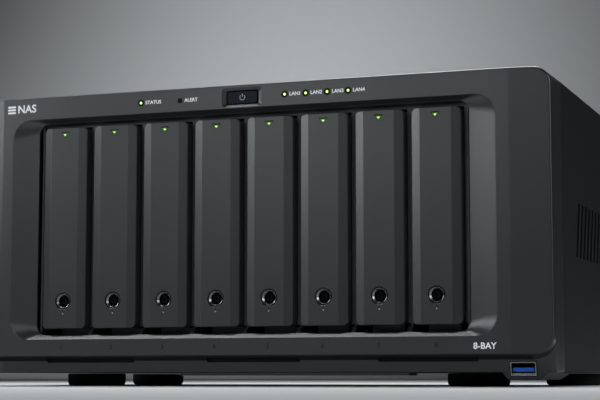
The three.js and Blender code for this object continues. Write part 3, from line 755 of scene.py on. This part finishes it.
def make_bay_frame():
    """Plastic rim on the front of the drive cage, seen through the gaps between the levers."""
    front, back = HANDLE_BACK + 0.6, HANDLE_BACK + 2.6
    half = RECESS_INNER[0] - 1.0
    low, high = HANDLE_LOW.z + 1.0, HANDLE_HIGH.z + 0.6
    bars = [block("bar", (-half, half), (front, back), (high, RECESS_INNER[2] + 1.0))]
    for i in range(1, BAYS):
        x = (i - BAYS / 2) * BAY_PITCH
        bars.append(block("bar", around(x, 1.9), (front, back), (low, high)))
    for side in (-1, 1):
        edges = sorted((side * (bay_x(BAYS - 1) + HANDLE_HALF + 0.4), side * half))
        bars.append(block("bar", edges, (front, back), (low, high)))
    add_piece(smooth(merge("bay_frame", bars)), "chassis", "cage_metal", "carrier")


# ---------- bays


def make_handle_mesh():
    rings = []
    for inset, depth in fillet_steps(0.55, 4):
        low, high = HANDLE_LOW.z + inset, HANDLE_HIGH.z - inset
        outline = rounded_rect(HANDLE_HALF - inset, low, high, 3.0 - inset * 0.5, steps=8)
        rings.append((outline, HANDLE_FRONT + depth))
    rings.append((rounded_rect(HANDLE_HALF, HANDLE_LOW.z, HANDLE_HIGH.z, 3.0, steps=8), HANDLE_BACK))
    body = loft("lever", rings)
    inside = rounded_rect(HANDLE_HALF - 3, LOCK_Z - 11, PIVOT_Z - 8, 2.0)
    hollow = loft("lever_hollow", [(inside, HANDLE_FRONT + 3), (inside, HANDLE_BACK + 1)])
    depth, rise = (PIVOT_Y - 3, HANDLE_BACK + 1), (PIVOT_Z - 3, HANDLE_HIGH.z + 1)
    notches = [block("notch", around(x, 1.6), depth, rise) for x in (-7, 7)]
    wide, narrow = circle(0, LOCK_Z, 4.95), circle(0, LOCK_Z, 4.75)
    funnel = [(wide, HANDLE_FRONT - 1), (wide, HANDLE_FRONT + 0.02)]
    funnel += [(narrow, HANDLE_FRONT + 0.2), (narrow, HANDLE_BACK + 1)]
    bore = loft("lock_bore", funnel)
    subtract(body, hollow, *notches, bore)
    pin = prism("pin", [(PIVOT_Y + a, PIVOT_Z + b) for a, b in circle(0, 0, 1.0, 20)], "x", -10, 10)
    unite(body, pin)
    slice_at(body, creases(HANDLE_FLAT, BEVEL_SOFTNESS))
    slope = HANDLE_BEVEL / (HANDLE_HALF - HANDLE_FLAT)
    for vertex in body.data.vertices:
        x, y = vertex.co.x / MM, vertex.co.y / MM
        share = min(1.0, max(0.0, (HANDLE_FRONT + 3 - y) / 3))
        vertex.co.y += eased(abs(x) - HANDLE_FLAT, BEVEL_SOFTNESS) * slope * share * MM
    return take_mesh(smooth(body, 25))


def set_back(front, *points):
    """Profile of points that are given as a radius and a depth behind the front."""
    return [(radius, front + depth) for radius, depth in points]


def make_lock_meshes():
    """Dark barrel with a deep mouth, the polished chamfer round the mouth, and the core inside it."""
    front, back = LOCK_LOW.y, LOCK_HIGH.y
    cam_front = back - 1.6
    profile = set_back(
        front, (0.0, 2.9), (3.15, 2.9), (3.15, 1.2), (4.0, 0.35), (4.05, 0.05), (4.3, 0.05), (4.5, 0.25)
    )
    barrel = lathe("barrel", [*profile, (4.5, cam_front), (0.0, cam_front)])
    barrel.location.z = LOCK_Z * MM
    cam = block("cam", (-1.5, 1.5), (cam_front, back), (LOCK_Z - 9, LOCK_Z + 1))
    soften(cam, 0.3)
    barrel_mesh = take_mesh(smooth(merge("lock_parts", [barrel, cam]), 30))

    chamfer = set_back(front, (3.14, 1.0), (3.9, 0.14), (4.02, 0.1), (4.02, 0.3), (3.16, 1.18))
    rim_mesh = take_mesh(smooth(lathe("lock_rim", chamfer + chamfer[:1]), 30))

    well = set_back(front, (0.0, 2.6), (3.0, 2.6), (3.0, 1.1), (3.12, 1.1), (3.12, 2.88), (0.0, 2.88))
    stud = set_back(
        front, (0.0, 2.2), (0.9, 2.2), (1.0, 1.5), (1.8, 1.4), (2.0, 1.7), (2.0, 2.7), (0.0, 2.7)
    )
    core = [lathe("well", well), lathe("stud", stud, 32)]
    for turn in range(3):
        ward = block("ward", (-2.7, 2.7), (front + 2.0, front + 2.7), (-0.3, 0.3))
        ward.data.transform(Matrix.Rotation(turn * math.pi / 3, 4, "Y"))
        core.append(ward)
    return barrel_mesh, rim_mesh, take_mesh(smooth(merge("lock_core_painted_shade", core), 30))


def triangle_prism(name, half, top, bottom, y0, y1, radius):
    """Down-pointing triangle with rounded corners."""
    points = [Vector((-half, top)), Vector((0.0, bottom)), Vector((half, top))]
    outline = []
    for i, corner in enumerate(points):
        before = (points[i - 1] - corner).normalized()
        after = (points[(i + 1) % 3] - corner).normalized()
        for step in range(5):
            t = step / 4
            away = before * (1 - t) ** 2 + after * t**2
            outline.append(tuple(corner + away * radius))
    return prism(name, outline, "y", y0, y1)


def make_bays():
    handle_mesh = make_handle_mesh()
    barrel_mesh, rim_mesh, core_mesh = make_lock_meshes()
    face = HANDLE_FRONT
    frame_mesh = take_mesh(triangle_prism("lamp_frame", 2.7, 145.0, 141.5, face - 0.04, face + 0.4, 0.5))
    lens_mesh = take_mesh(triangle_prism("lamp_lens", 1.9, 144.3, 141.9, face - 0.07, face + 0.4, 0.3))
    glow_mesh = take_mesh(triangle_prism("lamp_core", 0.85, 143.7, 142.8, face - 0.1, face + 0.4, 0.2))
    dot_mesh = take_mesh(prism("lock_dot", circle(0, 0, 0.38, 16), "y", face - 0.04, face + 0.2))
    bar_outline = rounded_rect(0.28, -0.9, 0.9, 0.2, steps=3)
    bar_mesh = take_mesh(prism("lock_mark", bar_outline, "y", face - 0.04, face + 0.2))
    for index in range(BAYS):
        number = index + 1
        x = bay_x(index)
        lever = f"handle_{number}"
        lock = f"lock_{number}"
        pieces = (
            ("lever", handle_mesh, 0.0, lever, "handle_plastic", "handle", lever),
            ("key_lock", barrel_mesh, 0.0, lock, "lock_metal", "lock", lock),
            ("key_rim", rim_mesh, LOCK_Z, lock, "lock_metal", "lock_rim"),
            ("key_way", core_mesh, LOCK_Z, lock, "lock_metal", "lock_core_painted_shade"),
            ("lamp_frame", frame_mesh, 0.0, lever, "black_plastic", "green_edge"),
            ("drive_lamp", lens_mesh, 0.0, lever, "black_plastic", "green"),
            ("lamp_core", glow_mesh, 0.0, lever, "black_plastic", "green_core"),
            ("open_dot", dot_mesh, OPEN_DOT_Z, lever, "handle_plastic", "print"),
            ("shut_mark", bar_mesh, SHUT_MARK_Z, lever, "handle_plastic", "faint_print"),
        )
        for name, mesh, z, *dress in pieces:
            add_piece(copy_piece(f"{name}_{number}", mesh.copy(), x, 0, z), *dress)


# ---------- controls and lamps


def lettering(name, text, size, x, z, look, align="LEFT"):
    """Flat letters printed on the bezel, a hair proud of it."""
    curve = bpy.data.curves.new(name, "FONT")
    curve.body = text
    curve.size = size * MM
    curve.extrude = 0.03 * MM
    curve.offset = 0.02 * size * MM
    curve.align_x = align
    curve.align_y = "CENTER"
    piece = link(name, curve)
    piece.rotation_euler = (math.pi / 2, 0, 0)
    piece.location = Vector((x, FRONT - 0.02, z)) * MM
    bpy.context.view_layer.update()
    mesh = final_mesh(piece)
    mesh.transform(piece.matrix_world)
    bpy.data.objects.remove(piece)
    return add_piece(link(name, mesh), *BEZEL, look)


def make_button():
    _, middle, half, rise = face_of(BUTTON_LOW, BUTTON_HIGH)
    rings = []
    for inset, depth in fillet_steps(0.5):
        outline = rounded_rect(half - inset, middle - rise + inset, middle + rise - inset, 1.2)
        rings.append((outline, BUTTON_LOW.y + depth))
    rings.append((rounded_rect(half, middle - rise, middle + rise, 1.2), BUTTON_LOW.y + 3))
    cap = loft("button_cap", rings)
    stem = block("button_stem", (-2, 2), (BUTTON_LOW.y + 2.5, BUTTON_HIGH.y), (middle - 2, middle + 2))
    unite(cap, stem)
    add_piece(smooth(cap), "power_button", "button_gloss", "gloss", "power_button")

    arc = []
    start, end = math.radians(130), math.radians(410)
    for radius, order in ((1.65, 1), (1.3, -1)):
        angles = [start + (end - start) * i / 24 for i in range(25)][::order]
        arc += [(radius * math.cos(a), middle + radius * math.sin(a)) for a in angles]
    print_depth = (BUTTON_LOW.y - 0.03, BUTTON_LOW.y + 0.1)
    ring = prism("power_arc", arc, "y", *print_depth)
    bar = rounded_rect(0.18, middle + 0.3, middle + 2.1, 0.15, steps=3)
    stroke = prism("power_stroke", bar, "y", *print_depth)
    add_piece(merge("power_symbol", [ring, stroke]), "power_button", "button_gloss", "print")


def make_lamps():
    rim = take_mesh(prism("lamp_rim", circle(0, 0, 1.95, 28), "y", FRONT - 0.03, FRONT + 1))
    core = take_mesh(prism("lamp_core", circle(0, 0, 0.72, 20), "y", FRONT - 0.07, FRONT + 0.5))
    square = rounded_rect(1.3, -1.3, 1.3, 0.3, steps=4)
    dark = take_mesh(prism("lamp_dark", square, "y", FRONT - 0.03, FRONT + 1))
    labels = (
        ("status", "STATUS", -61.35, True),
        ("alert", "ALERT", -37.25, False),
        ("lan_1", "LAN1", 25.3, True),
        ("lan_2", "LAN2", 37.55, True),
        ("lan_3", "LAN3", 49.9, True),
        ("lan_4", "LAN4", 61.9, True),
    )
    for name, text, x, lit in labels:
        lettering(f"label_{name}", text, 2.8, x + 2.7, LAMP_Z, "painted_glow_print")
        lit_parts = (("rim", rim, "green_edge"), ("lamp", core, "green_core"))
        for kind, mesh, look in lit_parts if lit else (("lamp", dark, "lamp_off"),):
            lamp = copy_piece(f"{kind}_{name}", mesh.copy(), x, 0, LAMP_Z)
            add_piece(lamp, *BEZEL, look)
    for index in range(BAYS):
        digit = str(index + 1)
        x = bay_x(index)
        lettering(f"bay_number_{digit}", digit, 3.8, x, BAY_NUMBER_Z, "faint_print", "CENTER")
    lettering("class_mark", "8-BAY", 4.6, 135.8, 21.0, "painted_glow_print", "CENTER")
    lettering("type_mark", "NAS", 6.4, -140.4, 159.3, "painted_glow_print")
    bars = []
    for level in range(3):
        outline = rounded_rect(2.6, *around(157.6 + level * 1.7, 0.55), 0.5, centre=-144.2, steps=3)
        bars.append(prism("bar", outline, "y", FRONT - 0.03, FRONT + 0.2))
    add_piece(merge("type_icon", bars), *BEZEL, "painted_glow_print")


def make_front_port():
    front, back = USB_LOW.y, USB_HIGH.y
    middle_x, middle_z, half, rise = face_of(USB_LOW, USB_HIGH)

    def outline(shrink):
        low, high = around(middle_z, rise - shrink)
        return rounded_rect(half - shrink, low, high, 0.3, centre=middle_x, steps=3)

    shell = loft("port_shell", [(outline(0.1), front), (outline(0), front + 0.2), (outline(0), back)])
    subtract(shell, loft("port_mouth", [(outline(0.45), front - 0.5), (outline(0.45), back - 1)]))
    add_piece(smooth(shell), "chassis", "port_metal", "steel", "front_usb_port")
    # Black sleeve inside the shell: painted shade for the dark inside of the port.
    shade_liner = loft("port_shade_liner", [(outline(0.42), front + 0.5), (outline(0.42), back - 0.8)])
    subtract(shade_liner, loft("liner_mouth", [(outline(0.6), front), (outline(0.6), back - 3)]))
    add_piece(smooth(shade_liner), "chassis", "port_metal", "black")
    thick = (middle_z - 1.45, middle_z + 0.7)
    tongue = block("port_tongue", around(middle_x, 5.6), (front + 0.8, back - 2.9), thick)
    add_piece(smooth(soften(tongue, 0.25)), "chassis", "port_metal", "blue")
    sill = [(front, USB_LOW.z + 0.1), (front + 0.75, USB_LOW.z + 1.35), (front + 0.75, USB_LOW.z + 0.1)]
    flap = prism("port_flap", sill, "x", USB_LOW.x + 0.6, USB_HIGH.x - 0.6)
    add_piece(flap, "chassis", "port_metal", "nickel")
    for piece in (shell, shade_liner, tongue, flap):
        for vertex in piece.data.vertices:
            vertex.co.y += lean_at(vertex.co.z / MM) * MM


# ---------- case and feet


def make_cover():
    front = COVER_LOW.y
    rings = []
    for inset, depth in fillet_steps(0.45, 3):
        outline = rounded_rect(CASE_HALF - inset, BASE_Z + inset * 0.3, HEIGHT - inset, 2.3, 0.3)
        rings.append((outline, front + depth))
    rings.append((rounded_rect(CASE_HALF, BASE_Z, HEIGHT, 2.5, 0.3), REAR - 0.3))
    rings.append((rounded_rect(CASE_HALF - 0.3, BASE_Z, HEIGHT - 0.3, 2.3, 0.3), REAR))
    wrap = loft("cover_wrap", rings)
    inside = block("inside", around(0, CASE_HALF - SHEET), (front - 1, REAR + 1), (0, HEIGHT - SHEET))
    vents = []
    for i in range(VENT_COUNT):
        y = FRONT + 84 + i * VENT_PITCH
        slant = [(y, 72), (y + 5, 72), (y + 14, 103), (y + 9, 103)]
        vents.append(prism("vent", slant, "x", -CASE_HALF - 1, CASE_HALF + 1))
    subtract(wrap, inside, merge("vents", vents))
    add_piece(smooth(wrap, 28), "chassis", "cover_metal", "cover", "top_cover")


def make_feet():
    low, high = node_box("foot_front_left")
    height = high.z
    radius = (high.x - low.x) / 2
    sole = ((7, 0.0), (6.5, 0.5), (4.5, 0.5), (4.0, 0.0), (1.8, 0.0), (0.6, 0.6), (0.1, 1.8), (0, 2.8))
    profile = [(0.0, 0.0), *((radius - inset, rise) for inset, rise in sole)]
    profile += [(radius, height - 0.6), (radius - 0.5, height), (0.0, height)]
    mesh = take_mesh(lathe("foot", profile, 64))
    mesh.transform(Matrix.Rotation(math.pi / 2, 4, "X"))
    for name in ("foot_front_left", "foot_front_right", "foot_rear_left", "foot_rear_right"):
        low, high = node_box(name)
        middle = (low + high) / 2
        piece = copy_piece(name + "_pad", mesh.copy(), middle.x, middle.y)
        add_piece(smooth(piece), "chassis", "foot_rubber", "rubber", name)


# ---------- back of the case


def make_screw_mesh(radius=2.6):
    """Pan head with a cross recess: its seat is at Y = 0 and it stands out towards -Y."""
    profile = [(0.0, -1.3), (radius * 0.55, -1.25), (radius * 0.9, -0.8), (radius, 0.0), (0.0, 0.0)]
    head = lathe("screw", profile, 24)
    reach = radius * 0.55
    cuts = []
    for turn in range(2):
        cut = block("cross", (-reach, reach), (-2, -0.6), (-0.32, 0.32))
        cut.data.transform(Matrix.Rotation(turn * math.pi / 2, 4, "Y"))
        cuts.append(cut)
    unite(cuts[0], cuts[1])
    subtract(head, cuts[0])
    return take_mesh(smooth(head, 35))


def place_screws(name, mesh, places, look="steel"):
    """One piece made of many screws, with their heads towards the back."""
    heads = []
    for place in places:
        head = copy_piece("head", mesh.copy(), *place)
        head.rotation_euler = (0, 0, math.pi)
        bpy.context.view_layer.update()
        head.matrix_basis = head.matrix_world
        heads.append(head)
    return add_piece(merge(name, heads), "chassis", "bracket_metal", look)


def make_blade(start, hub, tip, y0, y1, twist, thickness=1.1, steps=6, chords=4):
    """Fan blade that sweeps from hub to tip and curves along its chord."""
    corners = []
    for step in range(steps + 1):
        share = step / steps
        radius = hub - 0.6 + (tip - hub + 0.6) * share
        for chord in range(chords + 1):
            along = chord / chords
            middle = start + 0.45 * share**1.5 + twist * (1.2 - 0.4 * share) * along
            middle -= 0.10 * math.sin(math.pi * along)
            for side in (-0.5, 0.5):
                angle = middle + side * thickness / radius
                corners.append((radius * math.cos(angle), y0 + (y1 - y0) * along, radius * math.sin(angle)))
    row = 2 * (chords + 1)
    faces = []
    for step in range(steps):
        a, b = step * row, (step + 1) * row
        for chord in range(chords):
            c = 2 * chord
            faces.append((a + c, a + c + 2, b + c + 2, b + c))
            faces.append((a + c + 3, a + c + 1, b + c + 1, b + c + 3))
        faces.append((a + 1, a, b, b + 1))
        faces.append((a + row - 2, a + row - 1, b + row - 1, b + row - 2))
    for end in (0, steps * row):
        for chord in range(chords):
            c = end + 2 * chord
            faces.append((c, c + 1, c + 3, c + 2))
    return mesh_object("blade", corners, faces)


def make_rotor(node, name, body, hub, count):
    """Rotor on the axle of its joint; one blade of the CAD rotor stands straight up and gives the reach."""
    axle = next(Vector(joint["pos_m"]) / MM for joint in frame["joints"] if joint["child"] == body)
    low, high = node_box(node)
    y0, y1 = low.y - axle.y, high.y - axle.y
    tip = high.z - axle.z
    profile = [(0.0, y0), (hub - 1.2, y0), (hub, y0 + 1.2), (hub, y1 - 1.2), (hub - 1.2, y1), (0.0, y1)]
    parts = [lathe("hub", profile, 64)]
    for index in range(count):
        start = 2 * math.pi * index / count
        parts.append(make_blade(start, hub, tip, y0 + 1.2, y1 - 1.2, 5.2 / count))
    rotor = merge(name, parts)
    rotor.location = axle * MM
    add_piece(smooth(rotor, 40), body, "fan_plastic", "fan", node)
    sticker = lathe(name + "_sticker", [(0.0, 0.0), (hub * 0.8, 0.0), (hub * 0.8, 0.1), (0.0, 0.1)], 48)
    sticker.location = Vector((axle.x, high.y - 0.1, axle.z)) * MM
    add_piece(sticker, body, "fan_plastic", "print")


def make_port_details():
    """Contacts, lamps and tongues in the rear sockets, and pins in the mains inlet."""
    gold, tongues, lamps = [], [], []
    low, high = node_box("lan_port_block")
    face, middle = high.y, (low.x + high.x) / 2
    for jack in range(4):
        x = middle + (jack - 1.5) * 15.9
        for pin in range(8):
            wide = around(x + (pin - 3.5) * 1.02, 0.2)
            gold.append(block("contact", wide, (face - 9, face - 2.5), (low.z + 9.1, low.z + 9.5)))
        for side in (-1, 1):
            wide = around(x + side * 5.9, 1.2)
            lamps.append(block("lamp", wide, (face - 1, face - 0.02), (low.z + 1.3, low.z + 2.6)))
    add_piece(merge("lan_contacts", gold), "chassis", "port_metal", "gold")
    add_piece(merge("lan_lamps", lamps), "chassis", "port_metal", "lamp_off")

    low, high = node_box("rear_usb_ports")
    middle = (low.x + high.x) / 2
    for level in (0.25, 0.75):
        z = low.z + (high.z - low.z) * level
        tongues.append(block("tongue", around(middle, 5.4), (high.y - 9, high.y - 1), (z - 0.3, z + 1.5)))
    add_piece(merge("rear_usb_tongues", tongues), "chassis", "port_metal", "blue")

    low, high = node_box("power_inlet")
    x, z, _, _ = face_of(low, high)
    pins = []
    for px, pz in ((-7, -2), (0, 2), (7, -2)):
        pins.append(block("pin", around(x + px, 1), (high.y - 12, high.y - 2.5), around(z + pz, 2)))
    pin_piece = soften(merge("inlet_pins", pins), 0.3)
    add_piece(smooth(pin_piece), "chassis", "port_metal", "nickel")


def make_back():
    for fan in ("fan_left", "fan_right"):
        make_rotor(f"{fan}_rotor", f"{fan}_blades", fan, 19.0, 7)
    make_rotor("psu_fan_rotor", "supply_fan_blades", "psu_fan", 7.0, 5)
    make_port_details()
    screw = make_screw_mesh()
    panel = node_box("rear_panel")[1].y
    places = []
    for node in ("fan_left_frame", "fan_right_frame"):
        low, high = node_box(node)
        places += [(x, panel, z) for x in (low.x + 7.5, high.x - 7.5) for z in (low.z + 7.5, high.z - 7.5)]
    place_screws("fan_screws", screw, places, "black")
    low, high = node_box("psu_case")
    places = [(x, panel, z) for x in (low.x + 4.5, high.x - 4.5) for z in (low.z + 4.5, high.z - 4.5)]
    places += [(side * (CASE_HALF - 6), panel, z) for side in (-1, 1) for z in (HEIGHT / 2, HEIGHT - 8)]
    low, high = node_box("expansion_slot_cover")
    places.append(((low.x + high.x) / 2, REAR - 1.35, high.z - 4))
    place_screws("panel_screws", screw, places)


def make_labels():
    """Blank paper labels: one on the lid of each drive, and the rating label under the base."""
    for index in range(BAYS):
        low, high = node_box(f"drive_{index + 1}")
        sides = (high.x - 0.05, high.x + 0.1)
        along, rise = (low.y + 30, low.y + 100), (low.z + 22, high.z - 22)
        label = block(f"drive_label_{index + 1}", sides, along, rise)
        add_piece(label, f"tray_{index + 1}", "carrier_plastic", "print")
    low, _ = node_box("base_pan")
    plate = prism("rating_label", rounded_rect(35, -60, -20, 2), "y", low.z - 0.1, low.z + 0.1)
    plate.data.transform(Matrix.Rotation(math.pi / 2, 4, "X"))
    add_piece(plate, "chassis", "cover_metal", "print")


# ---------- CAD nodes that stay

NODE_LOOKS = {
    "base_pan": "cover",
    "rear_panel": "cover",
    "expansion_slot_cover": "steel",
    "drive_cage": "cage",
    "backplane": "circuit",
    "mainboard": "circuit",
    "memory_module": "circuit",
    "indicator_board": "circuit",
    "cpu_heatsink": "heatsink",
    "reset_button": "black",
    "psu_case": "supply",
    "power_inlet": "black",
    "rear_usb_ports": "nickel",
    "lan_port_block": "nickel",
    "esata_ports": "nickel",
}


def dress_cad_nodes():
    for name, node in frame["nodes"].items():
        look = NODE_LOOKS.get(name)
        if name.startswith("tray_"):
            look = "carrier"
        elif name.startswith("drive_") and name != "drive_cage":
            look = "drive"
        elif name.startswith(("fan_", "psu_fan")):
            look = "fan"
        if look and not node.hide_render:
            node.data.materials.clear()
            node.data.materials.append(LOOKS[look])


# ---------- studio


# The studio is in metres: a floor that curves up into a wall.
CURVE_START = 2.2
CURVE_RADIUS = 1.2
CURVE_STEPS = 12
PAPER_TONE = (0.55, 0.55, 0.55)
WORLD = 0.02
WORLD_TINT = (0.75, 0.78, 0.82, 1.0)
LIGHT_TINT = (0.95, 1.0, 1.02)

# Soft boxes on an arc round the front: degrees to the left of it, degrees up, and watts.
ARC_REACH = 1.4
ARC_MIDDLE = Vector((0.0, -0.12, 0.08))
ARC_BOXES = (
    ("far_right", -24, 14, 0.025),
    ("right", -10, 14, 0.036),
    ("centre", 6, 14, 0.048),
    ("front", 20, 14, 0.069),
    ("near_left", 50, 22, 0.04),
    ("left", 45, 14, 0.18),
    ("far_left", 61, 20, 0.27),
)

# Other soft boxes: place, target, size, spread in degrees, and watts.
BOXES = (
    ("overhead", (-0.45, -0.2, 1.1), (-0.02, -0.2, 0.05), (0.12, 1.0), 70, 0.85),
    ("top", (0.0, 0.35, 1.0), (0.0, -0.05, 0.16), (0.6, 0.3), 100, 3.4),
    ("side", (1.3, -0.2, 0.6), (0.1, 0.0, 0.08), (0.8, 0.8), 70, 0.9),
    ("backdrop", (-1.2, 1.4, 2.6), (-1.25, 3.35, 0.5), (0.8, 0.8), 55, 6.0),
    ("rear", (-0.6, 1.9, 1.0), (0.0, 0.1, 0.08), (0.8, 0.8), 60, 2.0),
)


def area_light(name, place, target, size, spread, power):
    light = bpy.data.lights.new(name, "AREA")
    light.shape = "RECTANGLE"
    light.size, light.size_y = size
    light.spread = math.radians(spread)
    light.energy = power
    light.color = LIGHT_TINT
    lamp = link(name, light)
    lamp.location = place
    lamp.rotation_euler = (Vector(target) - Vector(place)).to_track_quat("-Z", "Y").to_euler()
    lamp.visible_camera = False


def make_studio():
    profile = [(-4.0, 0.0), (CURVE_START, 0.0)]
    for step in range(1, CURVE_STEPS + 1):
        angle = math.pi / 2 * step / CURVE_STEPS
        rise = CURVE_RADIUS * (1 - math.cos(angle))
        profile.append((CURVE_START + CURVE_RADIUS * math.sin(angle), rise))
    profile.append((3.4, 6.0))
    corners = [(x, y, z) for y, z in profile for x in (-7.0, 7.0)]
    faces = [(2 * i, 2 * i + 1, 2 * i + 3, 2 * i + 2) for i in range(len(profile) - 1)]
    sweep = mesh_object("studio_sweep", [Vector(c) / MM for c in corners], faces)
    sweep.data.shade_smooth()
    paper = textured("studio_paper", PAPER_TONE, 0.85, 60.0, 0.01, specular=0.1)
    sweep.data.materials.append(paper)

    world = bpy.data.worlds.new("studio_air")
    bpy.context.scene.world = world
    world.use_nodes = True
    background = world.node_tree.nodes["Background"]
    background.inputs["Color"].default_value = WORLD_TINT
    background.inputs["Strength"].default_value = WORLD

    for name, azimuth, elevation, power in ARC_BOXES:
        aside, up = math.radians(azimuth), math.radians(elevation)
        aim = Vector((-math.sin(aside) * math.cos(up), -math.cos(aside) * math.cos(up), math.sin(up)))
        area_light(name, ARC_MIDDLE + aim * ARC_REACH, ARC_MIDDLE, (0.2, 0.2), 60, power)
    for box in BOXES:
        area_light(*box)


# Where the camera stands, in metres; which way it looks, in degrees; and its lens, in millimetres.
CAMERA_PLACE = (0.34465, -0.96447, 0.00532)
CAMERA_YAW = 20.21
CAMERA_PITCH = 6.04
CAMERA_LENS = 100.14


def make_camera():
    yaw, pitch = math.radians(CAMERA_YAW), math.radians(CAMERA_PITCH)
    camera = bpy.data.cameras.new("camera")
    camera.sensor_width = 36.0
    camera.lens = CAMERA_LENS
    camera.clip_start = 0.01
    viewer = link("camera", camera)
    viewer.location = CAMERA_PLACE
    viewer.rotation_euler = (math.pi / 2 + pitch, 0.0, yaw)
    bpy.context.scene.camera = viewer
    bpy.context.scene.view_settings.view_transform = "Standard"


# ---------- assembly

make_camera()
make_studio()
make_bezel()
make_bay_frame()
make_bays()
make_button()
make_lamps()
make_front_port()
make_cover()
make_feet()
make_back()
make_labels()
dress_cad_nodes()
